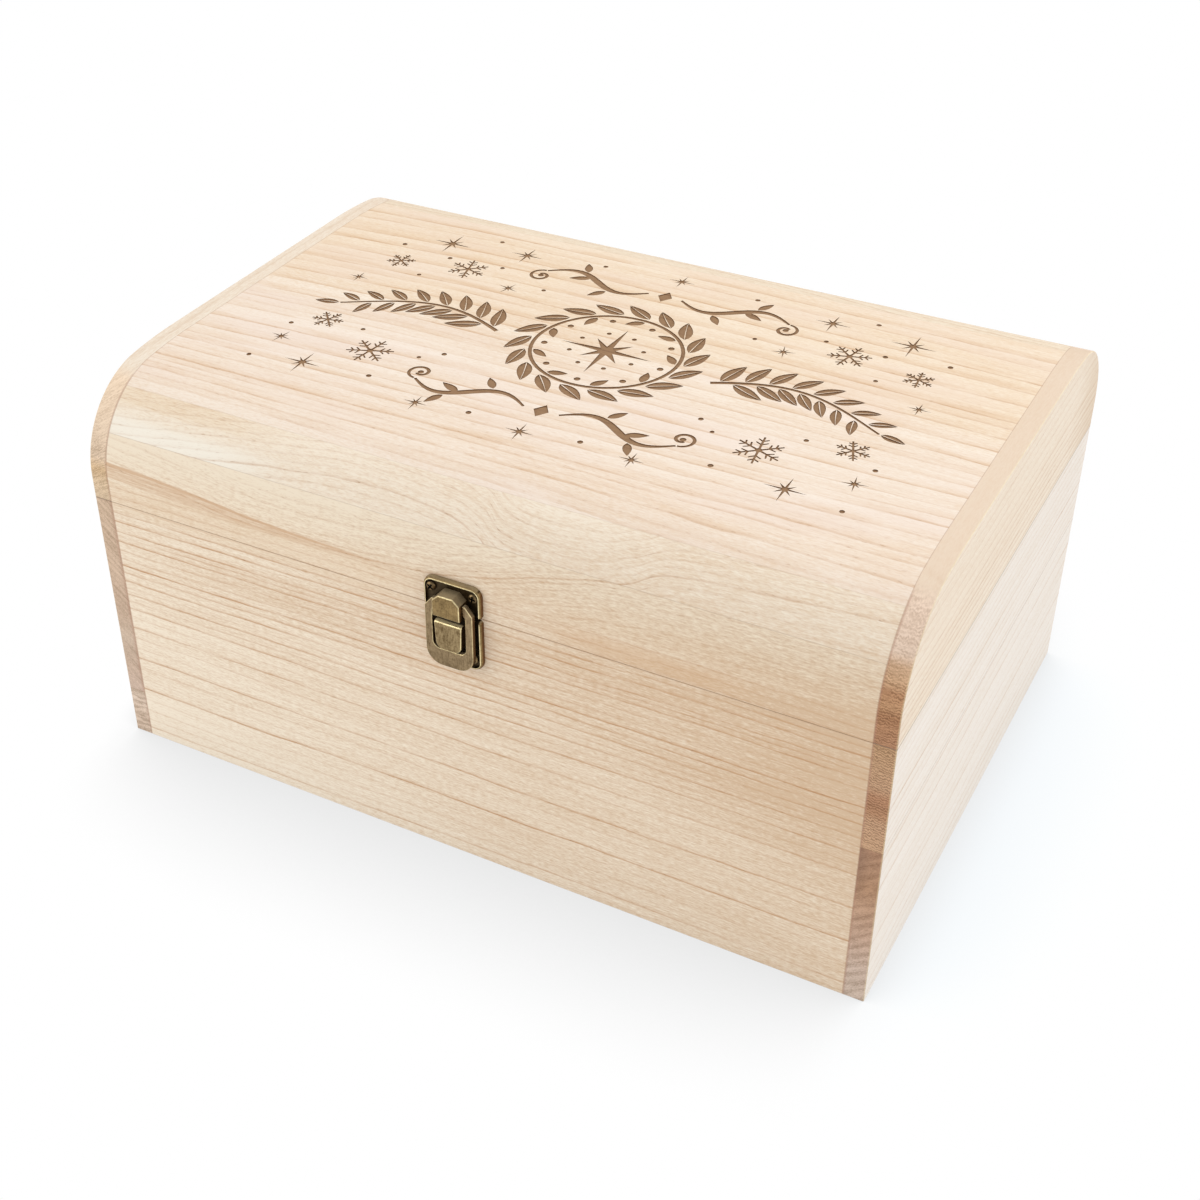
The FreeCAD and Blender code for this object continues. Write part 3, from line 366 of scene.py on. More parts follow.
CREAM = tone(248, 234, 213)
TAN = tone(217, 188, 156)
LINE = tone(192, 143, 100)
HALO = tone(214, 176, 136)
PORE = tone(176, 134, 98)

FRONT_LINES = [(4.6, 0.6), (10, 0.2), (16, 0.25), (23, 0.2), (30.0, 0.95), (36, 0.15), (42.5, 0.28), (49.1, 0.7),
               (55, 0.15), (61, 0.25), (67.5, 0.6), (73.5, 0.2), (79.5, 0.7), (84, 0.25), (88.7, 0.7), (92.5, 0.3),
               (96.6, 0.75), (101.8, 0.7), (106.2, 1.0), (110.5, 0.35), (115.5, 0.35), (120.6, 1.0), (123.7, 0.4),
               (126.4, 0.75), (132.3, 0.8), (136.8, 0.65), (141, 0.3), (146, 0.35), (151, 0.3)]


def bent(net, along, points):
    """A growth line's own course across the board, in millimetres."""
    low = min(p[1] for p in points)
    high = max(p[1] for p in points)
    pts = [(a / 400.0, (b - low) / (high - low)) for a, b in points]
    return net.curve(net.clamp(along / 400.0), pts) * (high - low) + low


def dark_heart(net, along, s):
    """The brown band that thins out along the saw cut's upper side."""
    top = bent(net, along, [(0, 163.4), (10, 163.2), (60, 160.4), (100, 157.2), (128, 156.0), (160, 155.4), (400, 154.0)])
    foot = bent(net, along, [(0, 156.8), (10, 156.4), (60, 154.2), (100, 153.6), (128, 154.0), (160, 154.2), (400, 154.0)])
    ragged = (net.noise(along / 14.0, s / 0.8, 3.0, 2.0, 0.6) - 0.5) * 1.6
    inside = net.step(s - foot + ragged, -0.8, 1.6) * (1.0 - net.step(s - top + ragged, -0.6, 0.7))
    streaky = net.ramp_range(net.noise(along / 20.0, s / 0.55, 5.0, 2.0, 0.6), 0.34, 0.64, 0.35, 1.1)
    edge = (1.0 - net.step(net.math("ABSOLUTE", s - top + ragged * 0.5), 0.2, 1.1)) * 0.9
    edge = edge + (1.0 - net.step(net.math("ABSOLUTE", s - foot + ragged * 0.5), 0.2, 0.9)) * 0.35
    return net.clamp((inside * 0.78 * streaky + edge) * (1.0 - net.step(along, 118.0, 182.0)))


def front_wood(name, mirror=False, seed=0.0):
    net = Net(name)
    x, s, d = unroll(net, mirror)
    along = x + 200.0
    # tanner to the right and towards the saw cut: partly the wood's own tone, partly painted light, the left end
    # painted lighter and the right darker as if lit from the left; the low left corner is painted lighter too
    tan_and_light_grade = along * 0.0013 + net.step(s, 60.0, 135.0) * 0.14 - 0.24 \
        + net.step(along, 290.0, 385.0) * net.step(s, 40.0, 95.0) * 0.22 \
        - (1.0 - net.step(s, 6.0, 34.0)) * (1.0 - net.step(along, 60.0, 200.0)) * 0.24
    blotch = (1.0 - net.step(net.math("ABSOLUTE", along - 292.0), 18.0, 62.0)) \
        * (1.0 - net.step(net.math("ABSOLUTE", s - 148.0), 2.0, 7.0))
    golden = net.step(s, 136.0, 142.0) * (1.0 - net.step(along, 150.0, 230.0))
    patches = [(blotch * 0.45, tone(214, 176, 136)), (golden * 0.24, tone(224, 192, 152))]
    if not mirror:
        patches.append((dark_heart(net, along, s) * 0.75, tone(208, 168, 130)))
    look = dict(seed=seed, lines=FRONT_LINES, low=0.0, high=158.0, light=CREAM, tan=TAN, line=LINE, halo=HALO,
                pore=PORE, drift=5.0, wander=1.5, lean=0.35, shape=along * -0.006, grade=tan_and_light_grade, patches=patches)
    colour, height, line = board(net, x, s, d, look)
    colour = hairline(net, colour, net.math("ABSOLUTE", x), 190.2, 0.5, tone(166, 124, 96), 0.5)
    colour = hairline(net, colour, s, SAW_Z, 0.5, tone(166, 128, 94), 0.3)
    return wood_finish(net, colour, height)


def stave_wood(name, course, lines, low, high, look, joints, mirror=False):
    net = Net(name)
    x, s, d = unroll(net, mirror)
    along = x + 200.0
    full = dict(light=CREAM, tan=TAN, line=LINE, halo=HALO, pore=PORE, lines=lines, low=low, high=high,
                shape=-bent(net, along, course), drift=2.5, wander=1.8, lean=0.4)
    full.update(look(net, along, s))
    colour, height, line = board(net, x, s, d, full)
    for place, amount in joints:
        colour = hairline(net, colour, s, place, 0.3, tone(158, 122, 92), amount)
    colour = hairline(net, colour, net.math("ABSOLUTE", x), 190.2, 0.5, tone(166, 124, 96), 0.45)
    return wood_finish(net, colour, height)


S_A = SPRING + ROUND_R * math.radians(29.6)
S_B = SPRING + ROUND_R * math.radians(59.1)


def look_lower(net, along, s):
    return dict(seed=2.0, base=0.34, grade=along * 0.0019 - 0.34 - net.step(s, 166.0, 177.0) * 0.26
                + (1.0 - net.step(s, 157.0, 167.0)) * 0.12, wander=2.4, broad=0.7, streak=0.7, silk=0.6,
                light=tone(246, 231, 208), line_force=0.42, halo_force=0.16,
                patches=[(dark_heart(net, along, s) * 0.75, tone(208, 168, 130))])


def look_lower_back(net, along, s):
    return dict(seed=22.0, base=0.34, wander=2.4, broad=0.7, streak=0.7, silk=0.6, light=tone(241, 225, 201),
                line_force=0.5)


def look_upper(net, along, s):
    pale = (1.0 - net.step(net.math("ABSOLUTE", along - 44.0), 22.0, 74.0)) \
        * (1.0 - net.step(net.math("ABSOLUTE", s - 180.5), 3.0, 10.0))
    rough = (net.noise(along / 22.0, s / 1.3, 6.0, 2.0, 0.6) - 0.5) * 5.0
    tawny = net.step(s + rough, 191.5, 195.0) * (1.0 - net.step(along, 48.0, 118.0))
    scratch = net.step(net.noise(along / 12.0, s / 0.55, 8.0, 1.0), 0.58, 0.68) * tawny
    foot = (1.0 - net.step(s, 179.0, 187.0)) * net.step(along, 190.0, 280.0)
    return dict(seed=3.0, base=0.30, grade=along * 0.0009 - 0.23 + foot * 0.22, wander=2.0, broad=0.7, streak=0.6, silk=0.7,
                light=tone(248, 235, 216), tan=tone(227, 201, 171), line_force=0.45, halo_force=0.18,
                patches=[(pale * 0.88, tone(251, 244, 230)), (tawny * 0.26, tone(225, 191, 143)),
                         (scratch * 0.38, tone(200, 157, 114))])


def look_upper_back(net, along, s):
    return dict(seed=23.0, base=0.34, wander=2.0, broad=0.7, streak=0.6, silk=0.7, light=tone(244, 230, 208),
                tan=tone(226, 201, 171))


wood_front = front_wood("wood_front")
wood_back = front_wood("wood_back", True, 6.0)
wood_stave_lower = stave_wood(
    "wood_stave_lower",
    [(0, 164), (10, 163), (60, 158.5), (100, 154.5), (130, 154.7), (183, 158.5), (200, 161), (250, 173.5),
     (285, 180), (330, 183), (400, 186)],
    [(-24, 0.25), (-18, 0.3), (-12.5, 0.25), (-8.5, 0.35), (-5.5, 0.3), (-2.6, 0.5), (-0.6, 0.95), (2.4, 0.5),
     (5.4, 0.35), (9, 0.3), (13, 0.35), (18, 0.3), (24, 0.3)],
    -36.0, 32.0, look_lower, [(S_A, 0.24)])
wood_stave_upper = stave_wood(
    "wood_stave_upper",
    [(0, 170), (67, 179), (110, 185), (150, 188.5), (183, 187), (207, 181), (238, 171), (277, 178.5), (300, 188),
     (345, 191.5), (400, 195)],
    [(-20, 0.2), (-14, 0.3), (-9, 0.25), (-5, 0.3), (-0.4, 0.85), (3.5, 0.25), (7, 0.3), (11, 0.4), (15, 0.3),
     (19.5, 0.4), (24, 0.3)],
    -28.0, 34.0, look_upper, [(S_A, 0.24), (S_B, 0.14)])
wood_stave_back_lower = stave_wood(
    "wood_stave_back_lower",
    [(0, 160), (90, 163), (170, 170), (260, 166), (330, 158), (400, 157)],
    [(-18, 0.3), (-12, 0.4), (-7, 0.35), (-3, 0.5), (0.5, 0.8), (4, 0.4), (9, 0.45), (14, 0.4), (20, 0.5), (26, 0.3)],
    -26.0, 34.0, look_lower_back, [(SPRING + ROUND_R * math.radians(41.75), 0.35)], True)
wood_stave_back_upper = stave_wood(
    "wood_stave_back_upper",
    [(0, 196), (80, 190), (160, 186), (240, 190), (320, 202), (400, 206)],
    [(-20, 0.3), (-14, 0.4), (-9, 0.35), (-4, 0.5), (0, 0.8), (4, 0.4), (9, 0.45), (14, 0.4), (20, 0.5), (26, 0.3)],
    -30.0, 34.0, look_upper_back,
    [(SPRING + ROUND_R * math.radians(41.75), 0.35), (SPRING + ROUND_R * math.radians(ROUND_A), 0.3)], True)

TOP_LINES = [(206, 0.35), (210, 0.3), (215.3, 0.55), (219, 0.3), (223, 0.5), (227, 0.7), (231.5, 0.25), (236.5, 0.6),
             (245.5, 0.65), (252, 0.5), (261, 0.7), (267, 0.2), (274, 0.8), (286.5, 0.45), (293, 0.25),
             (299.5, 0.5), (303.5, 0.35), (310.5, 0.75), (324, 0.7), (335.5, 0.7), (345.5, 0.5), (352, 0.95),
             (360, 0.3), (367.5, 0.75), (380.5, 0.9), (390.5, 0.85), (398, 0.25), (406, 0.45), (415, 1.0)]


def top_wood(name, burnt):
    net = Net(name)
    x, s, d = unroll(net)
    along = x + 200.0
    arch = bent(net, along, [(0, 7), (60, 2.5), (130, 0), (200, 0.3), (290, 3), (400, 7.5)])
    fan = (s - 224.0) * (along - 120.0) * -0.0011 * (1.0 - net.step(s, 235.0, 300.0))
    near = 1.0 - net.step(s, 285.0, 335.0)
    look = dict(seed=5.0, lines=TOP_LINES, low=200.0, high=430.0, light=tone(248, 234, 216), tan=tone(229, 200, 165),
                line=tone(203, 158, 116), halo=tone(222, 186, 146), pore=tone(194, 152, 116), drift=4.5, wander=1.9,
                lean=0.3, shape=arch * net.step(s, 220.0, 330.0) + fan, base=0.30, broad=1.1, streak=0.8,
                blush=tone(241, 221, 209), blush_force=0.45, line_force=0.58, halo_force=0.64, halo_width=8.5, crisp=1.5,
                fade=0.2, speck=2.0)
    far = net.step(s, 318.0, 345.0)
    look["patches"] = [(near * 0.35, tone(247, 234, 224)), (far * 0.30, tone(240, 216, 184))]
    colour, height, line = board(net, x, s, d, look)
    if not burnt:
        colour = hairline(net, colour, s, S_B, 0.3, tone(166, 130, 100), 0.12)
        colour = hairline(net, colour, net.math("ABSOLUTE", x), 190.2, 0.5, tone(172, 132, 102), 0.45)
        return wood_finish(net, colour, height)
    # scorched floor and walls of the engraving: the grain still shows
    sweep = net.math("SINE", s * 22.0 + net.noise(x / 3.0, s / 0.8, 0.0, 1.0) * 3.0)
    mottle = net.noise(x / 6.0, s / 1.8, 4.0, 3.0, 0.6)
    soot = net.clamp((mottle - 0.5) * 1.2 + line * 0.4 + sweep * 0.06 + 0.34)
    burn = net.mix(soot, tone(166, 132, 98), tone(128, 97, 69))
    burn = net.mix(0.16, burn, colour, "MULTIPLY")
    flank = net.step(d, 0.02, 0.2) * (1.0 - net.step(d, 0.36, 0.43))
    burn = net.mix(flank * 0.6, burn, tone(96, 68, 46))
    return wood_finish(net, burn, height + sweep * 0.12, rough=0.72, depth=0.00014)


wood_top = top_wood("wood_top", False)
wood_burnt = top_wood("wood_top_engraved", True)


def end_wood(name, seed, lean_deg, lines, low, high, light, tan, line_c, zones, extra=None, joint=None):
    """An end board: the fibre runs front to back, so its front and back edges
    show end grain and its outer face shows straight lines. zones is the end
    grain's own colour by height."""
    net = Net(name)
    x, y, z = net.xyz()
    nx, ny, nz = net.facing()
    ca, sa = math.cos(math.radians(lean_deg)), math.sin(math.radians(lean_deg))
    away = net.math("ABSOLUTE", x) - 200.0
    v = z + away * (sa / ca)
    w = away * ca
    look = dict(seed=seed, lines=lines, low=low, high=high, light=light, tan=tan, line=line_c, halo=line_c,
                pore=tone(200, 170, 142), drift=6.0, wander=1.4, lean=0.0, base=0.3, broad=0.8, streak=0.5,
                silk=0.3, line_force=0.55, halo_force=0.25)
    if extra:
        look.update(extra(net, x, y, z))
    colour, height, line = board(net, y, v, w, look)
    # end grain: crimped ripples, short dark pores, rings that follow the lean
    place = net.clamp((z - zones[0][0]) / (zones[-1][0] - zones[0][0]))
    first, span = zones[0][0], zones[-1][0] - zones[0][0]
    base = net.ramp(place, [((h - first) / span, c) for h, c in zones])
    grain = net.noise(x / 0.9, y / 6.0, v / 0.5, 3.0, 0.65)
    speck = net.step(net.noise(x / 0.6 + 7.0, y / 3.0, v / 0.34, 1.0), 0.56, 0.7)
    crimp = (net.noise(x / 1.6, y / 7.0, v / 3.2 + 3.0, 2.0, 0.6) - 0.5) * 3.7
    coming = net.ramp_range(net.noise(x / 4.0 + 9.0, y / 9.0, v / 5.0, 2.0, 0.6), 0.36, 0.62, 0.25, 1.15)
    ripple = net.math("SINE", (v + crimp) * look.get("ripple_rate", 4.7)) * coming * 0.3 + 0.5
    swell = net.noise(x / 9.0, y / 30.0, v / 4.5 + 8.0, 2.0, 0.5)
    rings = net.math("SINE", (v + (swell - 0.5) * 5.0) * look.get("ring_rate", 1.7)) * look.get("ring_force", 0.10)
    dark = net.clamp((grain - 0.5) * 2.1 + (ripple - 0.5) * look.get("ripple", 1.5) + (swell - 0.5) * 1.0
                     + line * look.get("end_line", 0.45) + rings + look.get("end_base", 0.36))
    pale = net.step(z, 168.0, 182.0)
    end = net.mix(dark, net.mix(1.0, base, (1.16, 1.15, 1.14, 1.0), "MULTIPLY"),
                  net.mix(pale, net.mix(1.0, base, (0.64, 0.58, 0.51, 1.0), "MULTIPLY"),
                          net.mix(1.0, base, (0.84, 0.78, 0.72, 1.0), "MULTIPLY")))
    end = net.mix(speck * (0.28 - pale * 0.2), end, net.mix(1.0, base, (0.46, 0.36, 0.28, 1.0), "MULTIPLY"))
    # a darker band beside the inner edge: partly the joint, partly painted shade
    rim = 1.0 - net.step(net.math("ABSOLUTE", x), 190.3, look.get("rim_to", 191.3))
    end = net.mix(rim * 0.5, end, tone(176, 132, 110))
    if "smudge" in look:
        end = net.mix(look["smudge"], end, tone(132, 100, 80))
    if "crown" in look:
        colour = net.mix(net.step(nz, 0.70, 0.94) * 0.6, colour, look["crown"])
    turned = net.step(ny * ny, look.get("end_from", 0.05), look.get("end_to", 0.24))
    colour = net.mix(turned, colour, end)
    # the saw cut's edges are a little scorched
    saw = 1.0 - net.step(net.math("ABSOLUTE", z - SAW_Z), 0.25, 0.55)
    colour = net.mix(saw * 0.42, colour, tone(128, 92, 64))
    # the eased outer edge is painted pale: a painted highlight
    arris_highlight = net.step(net.math("ABSOLUTE", x), 199.3, 199.75) * net.step(1.0 - net.math("ABSOLUTE", nx), 0.05, 0.2)
    colour = net.mix(arris_highlight * 0.38, colour, tone(240, 222, 180))
    if joint is not None:
        colour = hairline(net, colour, z, joint, 0.3, tone(146, 110, 82), 0.5)
    return wood_finish(net, colour, height + grain * turned * 0.5 + ripple * turned * 0.4)


PALE = tone(244, 236, 227)
PALE_TAN = tone(232, 218, 201)
END_LINE = tone(208, 176, 146)

end_right_lower = end_wood(
    "end_right_lower", 11.0, -34.0,
    [(6, 0.4), (13, 0.6), (19, 0.5), (26, 0.35), (37, 0.7), (43, 0.3), (51, 0.35), (58, 0.3), (68, 0.75), (76, 0.35),
     (84.5, 0.8)], 0.0, 92.0, PALE, PALE_TAN, END_LINE,
    [(0.0, tone(202, 182, 166)), (18.0, tone(202, 180, 164)), (38.0, tone(198, 166, 144)), (54.0, tone(187, 151, 124)),
     (66.0, tone(178, 139, 108)), (80.0, tone(176, 138, 110)), (87.0, tone(174, 134, 106))],
    lambda net, x, y, z: dict(shape=y * -0.02, ripple=0.35, end_line=0.25, ring_rate=1.1, ring_force=0.24,
                              smudge=(1.0 - net.step(net.math("ABSOLUTE", x), 190.5, 197.0))
                              * net.step(z, 50.0, 80.0) * 0.48),
    joint=87.0)
end_right_upper = end_wood(
    "end_right_upper", 12.0, 6.0,
    [(90, 0.4), (94, 0.3), (99, 0.35), (104, 0.5), (110, 0.85), (114, 0.3), (119, 0.35), (124, 0.3), (129, 0.35),
     (134, 0.3), (139, 0.45)], 84.0, 148.0, PALE, PALE_TAN, END_LINE,
    [(87.0, tone(194, 157, 124)), (102.0, tone(194, 156, 124)), (107.0, tone(180, 136, 102)),
     (110.0, tone(172, 128, 95)), (115.5, tone(180, 134, 101)), (121.0, tone(193, 156, 124)),
     (142.4, tone(188, 151, 114))],
    lambda net, x, y, z: dict(ripple=3.2, end_base=0.32), joint=87.0)
end_left_lower = end_wood(
    "end_left_lower", 13.0, 4.0, [(5, 0.5), (10, 0.7), (14.5, 0.5), (19, 0.6), (24, 0.5)], 0.0, 30.0,
    PALE, PALE_TAN, END_LINE,
    [(0.0, tone(208, 186, 166)), (12.0, tone(214, 192, 172)), (21.0, tone(222, 202, 184)), (27.0, tone(212, 192, 172))],
    lambda net, x, y, z: dict(ripple=0.3, ring_rate=1.75, ring_force=0.26), joint=27.0)
end_left_upper = end_wood(
    "end_left_upper", 14.0, -40.0,
    [(24, 0.4), (32, 0.5), (41, 0.4), (48, 0.5), (58, 0.4), (67, 0.6), (75, 0.4), (84, 0.5), (92, 0.7), (99, 0.6),
     (106, 0.8), (113, 0.6), (120, 0.8), (127, 0.6), (134, 0.8), (141, 0.5), (148, 0.5)], 15.0, 158.0,
    PALE, PALE_TAN, END_LINE,
    [(27.0, tone(210, 187, 170)), (43.0, tone(204, 180, 160)), (60.0, tone(209, 188, 168)),
     (74.0, tone(201, 176, 154)), (95.0, tone(208, 183, 160)), (142.4, tone(208, 183, 158))],
    lambda net, x, y, z: dict(ripple=0.35, ring_rate=1.5, end_line=0.35, rim_to=192.4,
                              ring_force=net.ramp_range(z, 70.0, 105.0, 0.06, 0.17)), joint=27.0)
LID_END_LINES = [(140, 0.6), (144.5, 0.8), (149, 0.6), (153, 0.85), (157.5, 0.6), (161, 0.8), (165.5, 0.55), (170, 0.7),
                 (176, 0.4), (182, 0.45), (188, 0.35), (194, 0.4), (199, 0.3)]
lid_end_right = end_wood(
    "lid_end_right", 15.0, 3.0, LID_END_LINES, 136.0, 212.0, tone(244, 231, 213), tone(230, 207, 181),
    tone(206, 170, 136),
    [(142.4, tone(172, 128, 96)), (152.0, tone(180, 134, 98)), (157.0, tone(170, 124, 88)),
     (161.5, tone(192, 149, 111)), (167.5, tone(182, 137, 101)), (171.0, tone(206, 168, 132)),
     (177.5, tone(208, 174, 142)), (182.0, tone(224, 201, 182)), (202.0, tone(230, 208, 189))],
    lambda net, x, y, z: dict(ripple=net.ramp_range(z, 160.0, 182.0, 2.4, 1.1), end_line=0.5,
                              crown=tone(226, 200, 174),
                              patches=[(net.step(y + (net.noise(y / 45.0, z / 1.6, x / 8.0, 2.0, 0.6) - 0.5) * 70.0, 90.0, 140.0) * 0.6,
                                        tone(220, 197, 170))]))
lid_end_left = end_wood(
    "lid_end_left", 16.0, 30.0, LID_END_LINES, 136.0, 212.0, tone(244, 232, 215), tone(229, 206, 181),
    tone(204, 168, 134),
    [(142.4, tone(214, 191, 162)), (152.0, tone(220, 195, 163)), (159.0, tone(220, 190, 151)),
     (165.5, tone(225, 202, 177)), (176.0, tone(231, 209, 184)), (202.0, tone(236, 214, 189))],
    lambda net, x, y, z: dict(ripple=0.7, end_line=0.3))


def bottom_wood():
    net = Net("wood_bottom")
    x, y, z = net.xyz()
    lines = [(i * 9.5 - 150.0 + 3.0 * math.sin(i * 1.7), 0.3 + 0.35 * (math.sin(i * 2.3) ** 2)) for i in range(1, 30)]
    look = dict(seed=9.0, lines=lines, low=-150.0, high=150.0, light=tone(236, 216, 190), tan=tone(214, 186, 152),
                line=tone(190, 152, 114), pore=PORE, drift=14.0, wander=2.0, lean=0.6, base=0.45)
    colour, height, line = board(net, x, y, z, look)
    return wood_finish(net, colour, height)


wood_bottom = bottom_wood()


# ------------------------------------------------------------------- metal

def brass(name, seed=0.0, skin_tone=None, rubbed_tone=None, rub_and_highlight=None, wear=1.0, cavity=None, slots=None,
          lip=None, rough=0.42):
    """Antique brass: a brown skin, rubbed pale along its eased front edges with a
    painted highlight there too, stronger on edges that face up; its sides painted
    darker and its corners near black, partly patina and partly painted shade.
    cavity is how far out a pressed plate's floor lies; slots is (x, z, out) of a
    pair of cross-head screws; lip is where the painted highlight on a flat top's
    front starts, with painted shade behind it."""
    net = Net(name)
    x, y, z = net.xyz()
    nx, ny, nz = net.facing()
    cloud = net.noise(x / 6.0 + seed, y / 6.0, z / 6.0, 3.0, 0.6)
    fleck = net.noise(x / 1.6, y / 1.6 + seed, z / 1.6, 3.0, 0.7)
    grit = net.noise(x / 0.6, y / 0.6 + seed, z / 0.6, 2.0, 0.6)
    brush = net.noise(x / 0.35, y / 0.5, z / 4.0 + seed, 2.0, 0.5)
    skin_tone = skin_tone or tone(104, 84, 54)
    rubbed_tone = rubbed_tone or tone(172, 146, 100)
    rub_and_highlight = rub_and_highlight or tone(255, 236, 184)
    hidden = 1.0 - net.shelter(0.0022, samples=8)
    front = net.math("ABSOLUTE", ny)
    out = -y - HALF_D
    rubbed = net.clamp((cloud - 0.5) * 1.6 + (brush - 0.5) * 1.2 + (fleck - 0.5) * 1.5 + (grit - 0.5) * 0.9 + 0.5)
    colour = net.mix(rubbed, skin_tone, rubbed_tone)
    colour = net.mix(net.step(fleck, 0.54, 0.70) * 0.42, colour, tone(78, 60, 38))
    # painted shading by facing: the sides are painted browner and darker than the front as painted shade; the tops
    # greyer and lighter, partly dust and partly painted top light
    side = net.step(1.0 - front, 0.35, 0.85)
    colour = net.mix(side * 0.62, colour, net.mix(net.step(nz, 0.3, 0.8), tone(116, 78, 46), tone(158, 142, 112)))
    # sheltered places, found by the AO, are darkened towards near black: partly patina, partly painted shade; less on
    # faces that look up, and on a plate only inside its pan
    if cavity is None:
        patina_and_shade = 0.85 - net.step(nz, 0.4, 0.8) * 0.5
    else:
        inner = net.step(PAN_IN - net.math("ABSOLUTE", x + 0.3), -0.3, 0.3) \
            * net.step(PAN_TOP - z, -0.3, 0.3) * net.step(z - PAN_FOOT, -0.3, 0.3)
        patina_and_shade = inner * 0.85
    colour = net.mix(net.step(hidden, 0.34, 0.9) * patina_and_shade, colour, tone(40, 31, 22))
    # the tongue's flat top: painted shade at its back under the hood, and a painted highlight along its front
    if lip is not None:
        flat_top = net.step(nz, 0.6, 0.9)
        colour = net.mix((1.0 - net.step(out, lip - 0.6, lip)) * flat_top * 0.85, colour, tone(34, 26, 18))
        colour = net.mix(net.step(out, lip, lip + 0.5) * flat_top * 0.8, colour, rub_and_highlight)
    # on screws the flanks are painted darker still: painted shade
    if slots is not None:
        colour = net.mix(side * 0.75, colour, tone(74, 54, 38))
    patchy = net.clamp(0.72 + (fleck - 0.5) * 1.4 + (cloud - 0.5) * 1.2)
    # the eased edges: partly rubbed wear, partly a painted highlight, the highlight stronger on edges that face up
    lit_from_above = net.ramp_range(nz, -0.7, 0.5, 0.35, 1.0)
    if cavity is None:
        crest = net.step(front, 0.10, 0.34) * (1.0 - net.step(front, 0.90, 0.985))
        wear_and_highlight = net.clamp(crest * patchy * lit_from_above * wear)
    else:
        # the pan floor is painted near black: partly patina, partly painted shade under the parts above it
        deep = 1.0 - net.step(out + (grit - 0.5) * 0.3, cavity + 0.15, cavity + 0.9)
        pan = deep * inner
        colour = net.mix(pan * 0.88, colour, net.mix(fleck, tone(34, 27, 20), tone(72, 60, 44)))
        # painted shade: the plate's outer roll is painted browner and darker where it faces sideways or down
        roll = 1.0 - net.step(front, 0.25, 0.8)
        colour = net.mix(roll * (1.0 - inner) * (1.0 - net.step(nz, 0.2, 0.6)) * 0.35, colour, tone(110, 76, 46))
        # the rim's inner crest: partly rubbed wear, partly a painted highlight line
        crest = net.step(front, 0.80, 0.93) * net.step(out, 2.25, 2.42)
        wear_and_highlight = net.clamp(crest * patchy * wear)
    if slots is not None:
        sx, sz, reach = slots
        # the recesses are turned by 8 degrees on the right, 35 on the left
        right_one = net.math("GREATER_THAN", x, 0.0)
        dx = x + 0.3 - (right_one * 2.0 - 1.0) * sx
        dz = z - sz
        r = net.math("SQRT", dx * dx + dz * dz + 0.0001)
        # the cross recess, and a little round it, is painted near black: painted shade in the recess
        sunk = (1.0 - net.step(r, 1.35, 1.6)) * (1.0 - net.step(out, reach - 0.25, reach - 0.08))
        c35, c8 = math.cos(math.radians(35)), math.cos(math.radians(8))
        s35, s8 = math.sin(math.radians(35)), math.sin(math.radians(8))
        ct, st = right_one * (c8 - c35) + c35, right_one * (s8 - s35) + s35
        arm = net.math("MINIMUM", net.math("ABSOLUTE", dx * ct - dz * st), net.math("ABSOLUTE", dx * st + dz * ct))
        cross = (1.0 - net.step(arm, 0.36, 0.56)) * (1.0 - net.step(r, 1.5, 1.7))
        sunk = net.clamp(sunk + cross)
        colour = net.mix(sunk * 0.96, colour, tone(16, 12, 9))
        wear_and_highlight = wear_and_highlight * (1.0 - sunk)
    # rubbed wear and painted highlight laid on
    colour = net.mix(wear_and_highlight, colour, rub_and_highlight)
    net.plug(colour, net.bsdf.inputs["Base Color"])
    dusty = net.step(nz, 0.45, 0.85) * (1.0 - wear_and_highlight)
    if cavity is not None:
        dusty = dusty * (1.0 - inner)
    if slots is not None:
        dusty = dusty * 0.2
    net.plug(1.0 - dusty * 0.7, net.bsdf.inputs["Metallic"])
    net.plug(net.clamp((grit - 0.5) * 0.30 + (fleck - 0.5) * 0.25 + hidden * 0.15 - wear_and_highlight * 0.12 + dusty * 0.2 + rough,
                       0.2, 0.8), net.bsdf.inputs["Roughness"])
    net.plug(net.bump(grit * 0.6 + brush * 0.3 + fleck * 0.6, 0.5, 0.00009), net.bsdf.inputs["Normal"])
    return net.mat


PAN_IN, PAN_TOP, PAN_FOOT = 13.2, 157.3, 116.1

brass_plate = brass("brass_plate", 1.0, cavity=1.2, wear=1.1)
brass_boss = brass("brass_boss", 2.0, wear=1.2)
brass_tongue = brass("brass_tongue", 2.6, rubbed_tone=tone(180, 158, 118), wear=1.2, lip=4.4)
brass_ring = brass("brass_ring", 3.0, skin_tone=tone(108, 89, 64), rubbed_tone=tone(168, 146, 112), wear=0.9)
brass_screw = brass("brass_screw", 4.0, skin_tone=tone(82, 67, 45), rubbed_tone=tone(134, 111, 77),
                    rub_and_highlight=tone(200, 172, 124), wear=0.3, slots=(10.5, 153.3, 2.8))
brass_hinge = brass("brass_hinge", 5.0, wear=0.35)


def steel():
    net = Net("nail_steel")
    x, y, z = net.xyz()
    grit = net.noise(x / 0.5, y / 0.5, z / 0.5, 3.0, 0.6)
    net.plug(net.mix(grit, tone(120, 120, 122), tone(176, 176, 178)), net.bsdf.inputs["Base Color"])
    net.bsdf.inputs["Metallic"].default_value = 1.0
    net.plug(net.ramp_range(grit, 0.0, 1.0, 0.3, 0.55), net.bsdf.inputs["Roughness"])
    net.plug(net.bump(grit, 0.3, 0.00005), net.bsdf.inputs["Normal"])
    return net.mat


nail_steel = steel()

